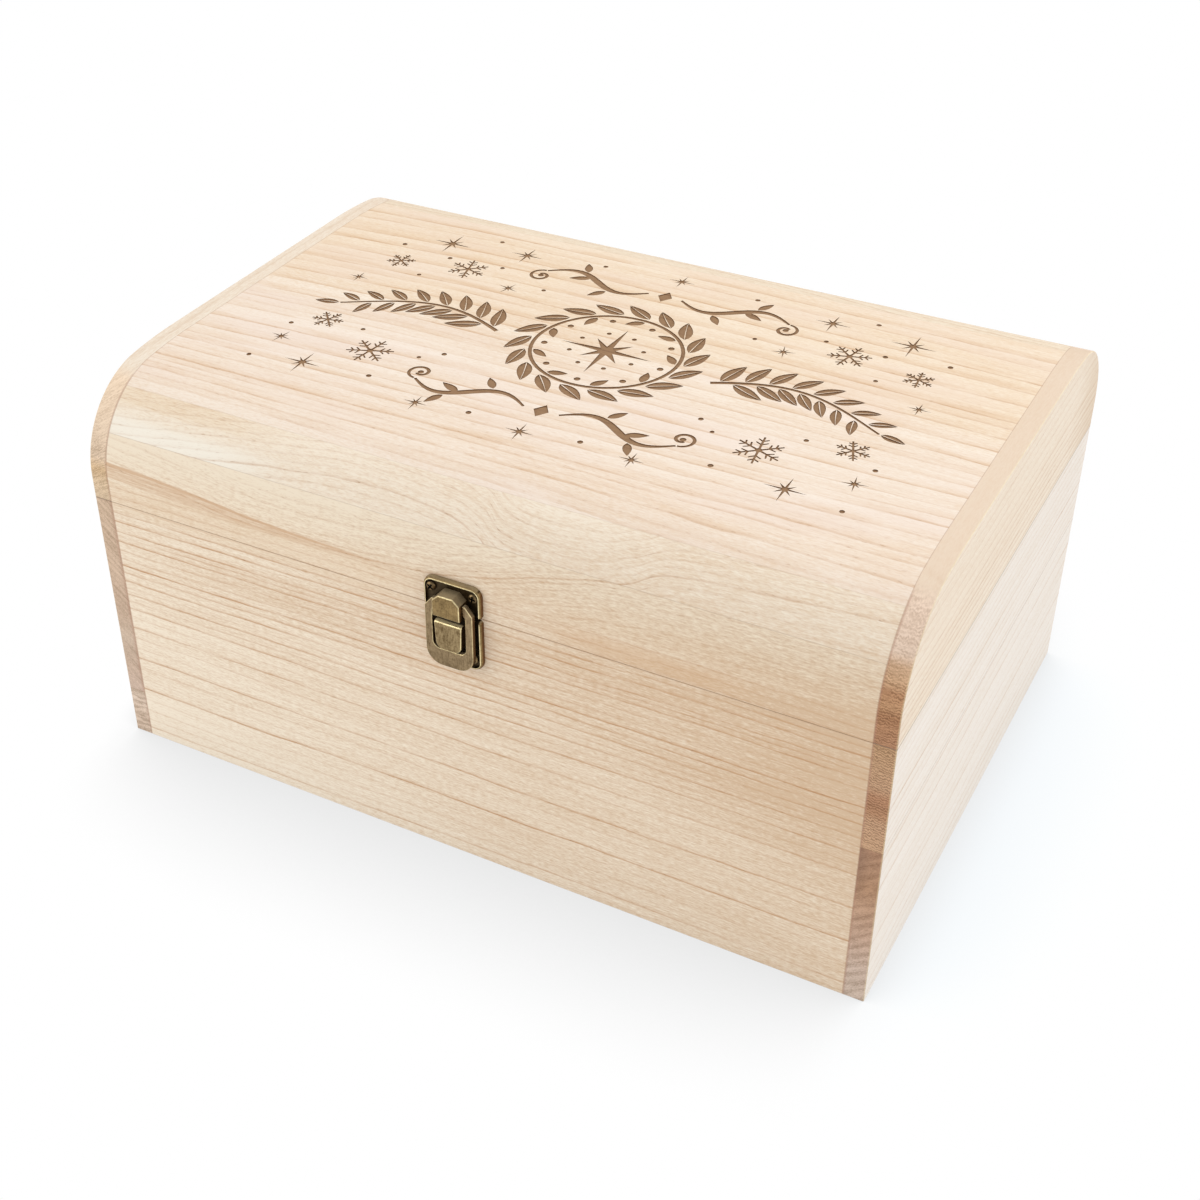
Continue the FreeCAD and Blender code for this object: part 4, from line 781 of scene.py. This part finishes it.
FINISH = {
    "base_front_panel": wood_front, "lid_front_rail": wood_front,
    "base_back_panel": wood_back, "lid_back_rail": wood_back,
    "base_left_end_lower": end_left_lower, "base_left_end_upper": end_left_upper,
    "base_right_end_lower": end_right_lower, "base_right_end_upper": end_right_upper,
    "base_bottom_panel": wood_bottom, "base_bottom_brads": nail_steel,
    "lid_front_lower_stave": wood_stave_lower, "lid_front_upper_stave": wood_stave_upper,
    "lid_back_lower_stave": wood_stave_back_lower, "lid_back_upper_stave": wood_stave_back_upper,
    "lid_top_board": wood_top, "lid_left_end": lid_end_left, "lid_right_end": lid_end_right,
    "keeper_plate": brass_plate, "catch_plate": brass_plate, "keeper_boss": brass_boss, "catch_tongue": brass_tongue,
    "latch_ring": brass_ring, "keeper_screws": brass_screw, "catch_screws": brass_screw,
    "base_hinge_screws": brass_screw, "lid_hinge_screws": brass_screw,
}
for name, obj in node.items():
    finish = FINISH.get(name, brass_hinge)
    obj.data.materials.clear()
    obj.data.materials.append(finish)
    for poly in obj.data.polygons:
        poly.material_index = 0


# --------------------------------------------------------- engraved lid top

HALF_L = 190.2
BOARD_T = 9.8
DOME_Y = ROUND_Y - (DOME_R - ROUND_R) * math.cos(math.radians(ROUND_A))
DOME_Z = SPRING - (DOME_R - ROUND_R) * math.sin(math.radians(ROUND_A))
S_DOME = SPRING + ROUND_R * math.radians(ROUND_A)
S_FLAT = S_DOME + DOME_R * math.radians(90.0 - ROUND_A)
S_MID = S_FLAT + DOME_Y
S_END = 2 * S_MID - S_DOME


def skin(x, s, d):
    """The point d below the skin at length s along it, in metres."""
    side = 1.0
    if s > S_MID:
        side, s = -1.0, 2 * S_MID - s
    if s <= S_DOME:
        a = (s - SPRING) / ROUND_R
        y, z = -(ROUND_Y + (ROUND_R - d) * math.cos(a)), SPRING + (ROUND_R - d) * math.sin(a)
    elif s <= S_FLAT:
        a = math.radians(ROUND_A) + (s - S_DOME) / DOME_R
        y, z = -(DOME_Y + (DOME_R - d) * math.cos(a)), DOME_Z + (DOME_R - d) * math.sin(a)
    else:
        y, z = -DOME_Y + (s - S_FLAT), DOME_Z + DOME_R - d
    return (x * MM, y * side * MM, z * MM)


# motifs: outlines in (x, t), millimetres, t from the middle of the lid to the back

def turned(points, angle, cx, ct):
    c, s = math.cos(math.radians(angle)), math.sin(math.radians(angle))
    return [(cx + x * c - y * s, ct + x * s + y * c) for x, y in points]


def dot(cx, ct, r, count=14):
    return [[(cx + r * math.cos(2 * math.pi * i / count), ct + r * math.sin(2 * math.pi * i / count))
             for i in range(count)]]


def star(cx, ct, reach, waist, angle=0.0, rays=4, short=None):
    """Thin rays round a point; short sets the length of the rays between."""
    pts = []
    total = rays * 2 if short else rays
    for i in range(total):
        r = reach if (not short or i % 2 == 0) else short
        a = 360.0 / total * i
        pts.append((r * math.cos(math.radians(a)), r * math.sin(math.radians(a))))
        b = a + 180.0 / total
        pts.append((waist * math.cos(math.radians(b)), waist * math.sin(math.radians(b))))
    return [turned(pts, angle + 90.0, cx, ct)]


def bar(x0, t0, x1, t1, w0, w1):
    dx, dt = x1 - x0, t1 - t0
    n = math.hypot(dx, dt)
    nx, nt = -dt / n, dx / n
    return [(x0 - nx * w0 / 2, t0 - nt * w0 / 2), (x1 - nx * w1 / 2, t1 - nt * w1 / 2),
            (x1 + nx * w1 / 2, t1 + nt * w1 / 2), (x0 + nx * w0 / 2, t0 + nt * w0 / 2)]


def flake(cx, ct, reach, angle=0.0, bold=1.0):
    out = []
    w = 0.95 * bold
    for k in range(6):
        arm = []
        arm.append(bar(0, 0, 0, reach, w, w * 0.75))
        for at, size in ((0.42, 0.30), (0.68, 0.26)):
            for side in (-1, 1):
                a = math.radians(90 - side * 55)
                arm.append(bar(0, reach * at, math.cos(a) * reach * size, reach * at + math.sin(a) * reach * size,
                               w * 0.85, w * 0.6))
        for piece in arm:
            out.append(turned(piece, angle + 60 * k, cx, ct))
    out.append(turned([(reach * 0.17 * math.cos(math.radians(60 * i + 30)),
                        reach * 0.17 * math.sin(math.radians(60 * i + 30))) for i in range(6)], angle, cx, ct))
    return out


def leaf(cx, ct, length, width, angle, bend=0.0, steps=7):
    """A leaf from its stalk end at (cx, ct), pointing along angle."""
    left, right_side = [], []
    for i in range(steps + 1):
        f = i / steps
        half = width / 2 * math.sin(math.pi * f ** 0.8) ** 0.9 if 0 < f < 1 else 0.0
        off = bend * math.sin(math.pi * f * 0.5) * length * 0.25
        left.append((length * f, off + half))
        right_side.append((length * f, off - half))
    pts = right_side + left[::-1][1:-1]
    return [turned(pts, angle, cx, ct)]


def leaf_split(cx, ct, length, width, angle, bend=0.0):
    """A leaf in two blades with an uncut midrib between them."""
    out = []
    for side in (-1, 1):
        pts_out, pts_in = [], []
        steps = 8
        for i in range(steps + 1):
            f = i / steps
            # the blades don't quite touch at stalk and tip
            half = width / 2 * math.sin(math.pi * f ** 0.82) ** 0.85 if 0 < f < 1 else 0.07
            rib = min(0.28 * (1 - f * 0.8), half * 0.5)
            off = bend * math.sin(math.pi * f * 0.5) * length * 0.25
            pts_out.append((length * f, off + side * half))
            if 0 < i < steps:
                pts_in.append((length * f, off + side * rib))
        pts = pts_out + pts_in[::-1]
        out.append(turned(pts, angle, cx, ct))
    return out


def ribbon(points, widths):
    """A stroke along points with a width at each."""
    left, right_side = [], []
    for i, (x, t) in enumerate(points):
        a = points[max(i - 1, 0)]
        b = points[min(i + 1, len(points) - 1)]
        dx, dt = b[0] - a[0], b[1] - a[1]
        n = math.hypot(dx, dt) or 1.0
        nx, nt = -dt / n, dx / n
        left.append((x + nx * widths[i] / 2, t + nt * widths[i] / 2))
        right_side.append((x - nx * widths[i] / 2, t - nt * widths[i] / 2))
    out = []
    for i in range(len(points) - 1):
        out.append([right_side[i], right_side[i + 1], left[i + 1], left[i]])
    return out


def spiral(cx, ct, r0, r1, a0, a1, count=22):
    pts = []
    for i in range(count):
        f = i / (count - 1)
        r = r0 + (r1 - r0) * f
        a = math.radians(a0 + (a1 - a0) * f)
        pts.append((cx + r * math.cos(a), ct + r * math.sin(a)))
    return pts


def both(shapes):
    """The same shapes and their mirror image across the middle."""
    return shapes + [[(-x, t) for x, t in reversed(loop)] for loop in shapes]


shapes = []
# wreath: two rows of leaves round a ring, with berries
for i in range(18):
    a = 360.0 / 18 * i + 4
    ca, sa = math.cos(math.radians(a)), math.sin(math.radians(a))
    swirl = a + 90
    shapes += leaf_split(38.6 * ca, 38.6 * sa, 17.5, 7.2, swirl - 30, 0.3)
    if i % 2 == 0:
        shapes += leaf(34.4 * ca, 34.4 * sa, 10.0, 4.4, swirl + 46, -0.3)
    else:
        shapes += dot(30.6 * math.cos(math.radians(a + 7)), 30.6 * math.sin(math.radians(a + 7)), 1.6)
ring = [(36.0 * math.cos(math.radians(a)), 36.0 * math.sin(math.radians(a))) for a in range(0, 361, 6)]
shapes += ribbon(ring, [1.9] * len(ring))
# the star in its middle
shapes += star(0, 0, 23.5, 4.2, 0.0, 4, 13.5)
for k in range(8):
    a = math.radians(22.5 + 45 * k)
    shapes += dot(17.5 * math.cos(a), 17.5 * math.sin(a), 1.2)


# sprays that leave the wreath to each side
def spray():
    out = []
    stem = []
    count = 30
    for i in range(count):
        f = i / (count - 1)
        stem.append((56.0 + 84.0 * f, -6.0 + 12.0 * math.sin(f * math.pi * 1.1) - 5.0 * f * f))
    out += ribbon(stem, [2.3 - 1.1 * i / (count - 1) for i in range(count)])
    for i in range(15):
        f = 0.05 + 0.061 * i
        p = f * (count - 1)
        k = int(p)
        m = p - k
        x = stem[k][0] * (1 - m) + stem[min(k + 1, count - 1)][0] * m
        t = stem[k][1] * (1 - m) + stem[min(k + 1, count - 1)][1] * m
        dx = stem[min(k + 1, count - 1)][0] - stem[k - 1 if k else 0][0]
        dt = stem[min(k + 1, count - 1)][1] - stem[k - 1 if k else 0][1]
        way = math.degrees(math.atan2(dt, dx))
        size = 1.0 - 0.38 * f
        side = 1 if i % 2 == 0 else -1
        stalk = way + side * 90.0
        x += 1.5 * math.cos(math.radians(stalk))
        t += 1.5 * math.sin(math.radians(stalk))
        out += leaf_split(x, t, 19.5 * size, 7.4 * size, way + side * 43, side * 0.35)
    out += leaf_split(stem[-1][0] + 0.8, stem[-1][1], 12.5, 5.0, -14, 0.0)
    return out


shapes += both(spray())


# scrolls in front of and behind the wreath
def scroll(ct, flip, x0=9.0, x1=66.0):
    out = []
    line = []
    n = 26
    for i in range(n):
        f = i / (n - 1)
        line.append((x0 + (x1 - x0) * f, ct + flip * 6.5 * math.sin(f * math.pi * 2.0)))
    out += ribbon(line, [1.3 + 2.6 * math.sin(math.pi * i / (n - 1)) ** 1.4 for i in range(n)])
    curl = spiral(x1 + 0.6, ct + flip * 6.2, 6.2, 2.0, -90 * flip, (-90 + 400) * flip, 34)
    out += ribbon(curl, [1.3 + 0.5 * math.sin(math.pi * i / 33) for i in range(34)])
    out += dot(x1 + 0.6, ct + flip * 6.2, 1.5)
    out += leaf(x0 + 20.0, ct + flip * 7.8, 10.5, 4.2, flip * 52)
    out += leaf(x0 + 33.0, ct - flip * 2.2, 11.5, 4.4, flip * 24)
    out += leaf(x0 + 37.5, ct - flip * 7.6, 10.5, 4.2, -flip * 64)
    return out


shapes += both(scroll(-64.0, 1.0))
shapes += both(scroll(64.0, -1.0))
shapes += [turned([(0, -5.6), (3.8, 0), (0, 5.6), (-3.8, 0)], 0, 0, -64.0)]
shapes += [turned([(0, -5.6), (3.8, 0), (0, 5.6), (-3.8, 0)], 0, 0, 64.0)]
# snowflakes, stars and dots scattered to the corners
shapes += both(flake(99.0, -51.0, 11.5, 8, 1.25))
shapes += both(flake(135.0, -33.0, 8.2, 20, 1.15))
shapes += both(flake(103.0, 47.0, 10.5, -12, 1.2))
shapes += both(flake(139.0, 40.0, 7.6, 5, 1.1))
shapes += both(star(121.0, -75.0, 10.0, 1.6, 0, 4, 5.4))
shapes += both(star(145.0, -58.0, 6.4, 1.15, 10, 4, 3.6))
shapes += both(star(84.0, 75.0, 9.4, 1.5, 0, 4, 5.2))
shapes += both(star(126.0, 70.0, 11.5, 1.7, 0, 4, 6.2))
shapes += both(star(148.0, 14.0, 5.8, 1.05, 0, 4, 3.2))
shapes += both(star(54.0, -83.0, 6.4, 1.15, 0, 4, 3.6))
shapes += both(star(74.0, 37.0, 6.2, 1.1, 15, 4, 3.4))
for px, pt, pr in ((86.0, -72.0, 1.35), (114.0, -34.0, 1.2), (149.0, -44.0, 1.25), (28.0, -80.0, 1.35),
                   (88.0, 56.0, 1.2), (118.0, 54.0, 1.3), (148.0, 58.0, 1.35), (104.0, 84.0, 1.3),
                   (42.0, 82.0, 1.3), (122.0, 30.0, 1.15), (66.0, -38.0, 1.3), (57.0, 43.0, 1.15),
                   (148.0, -80.0, 1.2), (75.0, -46.0, 1.1)):
    shapes += both(dot(px, pt, pr, 12))
shapes += star(0, -84.0, 7.4, 1.3, 0, 4, 4.2)
shapes += star(0, 84.0, 7.4, 1.3, 0, 4, 4.2)


def engraved_top(depth):
    verts, faces, edges = [], [], []

    def put(x, s):
        verts.append(Vector((x, s)))
        return len(verts) - 1

    rows = [S_B]
    while rows[-1] + 1.3 < S_DOME:
        rows.append(rows[-1] + 1.25)
    rows.append(S_DOME)
    k = 1
    while S_DOME + 3.0 * k < S_FLAT - 0.5:
        rows.append(S_DOME + 3.0 * k)
        k += 1
    rows.append(S_FLAT)
    for i in range(1, 14):
        rows.append(S_FLAT + (2 * DOME_Y) * i / 14)
    rows.append(2 * S_MID - S_FLAT)
    k = 1
    while 2 * S_MID - S_FLAT + 3.0 * k < S_END - 0.5:
        rows.append(2 * S_MID - S_FLAT + 3.0 * k)
        k += 1
    rows.append(S_END)
    for s in rows:
        edges.append((put(-HALF_L, s), put(HALF_L, s)))
    left = [e[0] for e in edges]
    right_side = [e[1] for e in edges]
    for line in (left, right_side):
        for a, b in zip(line, line[1:]):
            edges.append((a, b))
    for loop in shapes:
        pts = [(x, S_MID + t) for x, t in loop]
        area = sum(a[0] * b[1] - b[0] * a[1] for a, b in zip(pts, pts[1:] + pts[:1]))
        if abs(area) < 1e-6:
            continue
        if area < 0:
            pts.reverse()
        faces.append([put(x, s) for x, s in pts])
    out_v, out_e, out_f, ov, oe, of = delaunay_2d_cdt(verts, edges, faces, 0, 1e-4, True)
    count = len(out_v)
    coords = [skin(v.x, v.y, 0.0) for v in out_v] + [skin(v.x, v.y, depth) for v in out_v]
    polys, mats = [], []
    edge_cut, edge_plain = {}, set()
    for f, origin in zip(out_f, of):
        a, b, c = [out_v[i] for i in f]
        ring_f = list(f)
        if (b - a).cross(c - a) < 0:
            ring_f.reverse()
        cut = len(origin) > 0
        pairs = list(zip(ring_f, ring_f[1:] + ring_f[:1]))
        if cut:
            polys.append([i + count for i in ring_f])
            for p in pairs:
                edge_cut[p] = True
        else:
            polys.append(ring_f)
            for p in pairs:
                edge_plain.add(p)
        mats.append(1 if cut else 0)
    for a, b in edge_cut:
        if (b, a) in edge_plain:
            polys.append([a, b, b + count, a + count])
            mats.append(1)
    # sides, underside and stub tongues
    rim_l = sorted([i for i, v in enumerate(out_v) if abs(v.x + HALF_L) < 1e-3], key=lambda i: out_v[i].y)
    rim_r = sorted([i for i, v in enumerate(out_v) if abs(v.x - HALF_L) < 1e-3], key=lambda i: out_v[i].y)
    rim_f = sorted([i for i, v in enumerate(out_v) if abs(v.y - S_B) < 1e-3], key=lambda i: out_v[i].x)
    rim_b = sorted([i for i, v in enumerate(out_v) if abs(v.y - S_END) < 1e-3], key=lambda i: out_v[i].x)
    ss = [out_v[i].y for i in rim_l]
    if len(rim_r) != len(rim_l):
        raise RuntimeError("the two ends of the lid top differ")

    def line(x, d):
        start = len(coords)
        coords.extend(skin(x, s, d) for s in ss)
        return list(range(start, start + len(ss)))

    low, high, reach = 3.2, 6.6, HALF_L + 3.0
    grid = {}
    for side, x in (("l", -HALF_L), ("r", HALF_L)):
        grid[side] = [rim_l if side == "l" else rim_r, line(x, low), line(x, high), line(x, BOARD_T)]
        tip = -reach if side == "l" else reach
        grid[side + "tip"] = [line(tip, low), line(tip, high)]

    def strip(p, q, flip):
        for i in range(len(ss) - 1):
            quad = [p[i], q[i], q[i + 1], p[i + 1]]
            polys.append(quad[::-1] if flip else quad)
            mats.append(0)

    for side, flip in (("l", True), ("r", False)):
        g, tip = grid[side], grid[side + "tip"]
        strip(g[0], g[1], not flip)
        strip(g[2], g[3], not flip)
        strip(g[1], tip[0], not flip)
        strip(tip[0], tip[1], not flip)
        strip(tip[1], g[2], not flip)
        for k in (0, len(ss) - 1):
            quad = [g[1][k], g[2][k], tip[1][k], tip[0][k]]
            polys.append(quad)
            mats.append(0)
    strip(grid["l"][3], grid["r"][3], True)
    for rim, k in ((rim_f, 0), (rim_b, len(ss) - 1)):
        polys.append(rim + [grid["r"][1][k], grid["r"][2][k], grid["r"][3][k],
                            grid["l"][3][k], grid["l"][2][k], grid["l"][1][k]])
        mats.append(0)

    mesh = bpy.data.meshes.new("lid_top_engraved")
    mesh.from_pydata(coords, [], polys)
    mesh.update()
    bm = bmesh.new()
    bm.from_mesh(mesh)
    bm.faces.ensure_lookup_table()
    for f, m in zip(bm.faces, mats):
        f.material_index = m
    loose = [v for v in bm.verts if not v.link_faces]
    bmesh.ops.delete(bm, geom=loose, context="VERTS")
    bmesh.ops.recalc_face_normals(bm, faces=bm.faces)
    for f in bm.faces:
        f.smooth = True
    open_edges = [e for e in bm.edges if len(e.link_faces) != 2]
    print("lid top: %d faces, %d open or shared edges" % (len(bm.faces), len(open_edges)))
    bm.to_mesh(mesh)
    bm.free()
    mesh.set_sharp_from_angle(angle=math.radians(28))
    obj = bpy.data.objects.new("lid_top_engraved", mesh)
    bpy.context.scene.collection.objects.link(obj)
    mesh.materials.append(wood_top)
    mesh.materials.append(wood_burnt)
    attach(obj, "lid")
    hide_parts("lid_top_board")
    return obj


lid_top = engraved_top(0.45)


# ------------------------------------------------------------ floor, lights

def floor_material():
    """A glowing white floor, lit by its own emission, with a painted shadow: it
    greys where the box shelters it, less and bluer on the right, not at all on the left."""
    net = Net("studio_floor")
    x, y, z = net.xyz()
    # painted shadow: how much the box shelters the floor, found by the AO
    under = 1.0 - net.shelter(0.135, samples=16)
    to_right = net.step(x, 185.0, 225.0)
    from_left = net.step(x, -240.0, -196.0)
    under = under * from_left
    red = net.clamp(1.07 - under * (0.50 - to_right * 0.15))
    green = net.clamp(1.07 - under * (0.50 - to_right * 0.22))
    blue = net.clamp(1.07 - under * (0.50 - to_right * 0.27))
    net.plug(net.vec(red, green, blue), net.bsdf.inputs["Emission Color"])
    net.bsdf.inputs["Emission Strength"].default_value = 1.0
    net.bsdf.inputs["Base Color"].default_value = (0.0, 0.0, 0.0, 1.0)
    net.bsdf.inputs["Roughness"].default_value = 1.0
    net.bsdf.inputs["Specular IOR Level"].default_value = 0.0
    return net.mat


floor_mesh = bpy.data.meshes.new("floor")
floor_mesh.from_pydata([(-6, -6, -0.0003), (6, -6, -0.0003), (6, 6, -0.0003), (-6, 6, -0.0003)], [], [(0, 1, 2, 3)])
floor = bpy.data.objects.new("floor", floor_mesh)
floor.data.materials.append(floor_material())
bpy.context.scene.collection.objects.link(floor)

world = bpy.data.worlds.new("studio")
bpy.context.scene.world = world
world.use_nodes = True
world.node_tree.nodes["Background"].inputs["Color"].default_value = (1.0, 1.0, 1.0, 1.0)
# the backdrop is white to the eye, and lights the box less than it shows
seen = world.node_tree.nodes.new("ShaderNodeLightPath")
strength = world.node_tree.nodes.new("ShaderNodeMath")
strength.operation = "MULTIPLY_ADD"
world.node_tree.links.new(seen.outputs["Is Camera Ray"], strength.inputs[0])
strength.inputs[1].default_value = 0.45
strength.inputs[2].default_value = 0.55
world.node_tree.links.new(strength.outputs[0], world.node_tree.nodes["Background"].inputs["Strength"])


def lamp(name, place, target, size, power, colour=(1.0, 1.0, 1.0)):
    data = bpy.data.lights.new(name, "AREA")
    data.shape = "RECTANGLE"
    data.size, data.size_y = size
    data.energy = power
    data.color = colour
    obj = bpy.data.objects.new(name, data)
    way = Vector(target) - Vector(place)
    obj.rotation_mode = "QUATERNION"
    obj.rotation_quaternion = way.to_track_quat("-Z", "Y")
    obj.location = place
    bpy.context.scene.collection.objects.link(obj)
    return obj


lamp("key", (0.35, 0.9, 1.8), (-0.05, 0.0, 0.1), (1.4, 1.4), 18.5)
lamp("fill_left", (-1.3, -1.2, 0.9), (-0.1, -0.1, 0.1), (1.2, 1.2), 10.5, (1.0, 0.985, 0.96))
lamp("side", (1.6, -0.4, 0.6), (0.2, 0.0, 0.1), (1.0, 1.0), 5.0, (0.97, 0.985, 1.0))
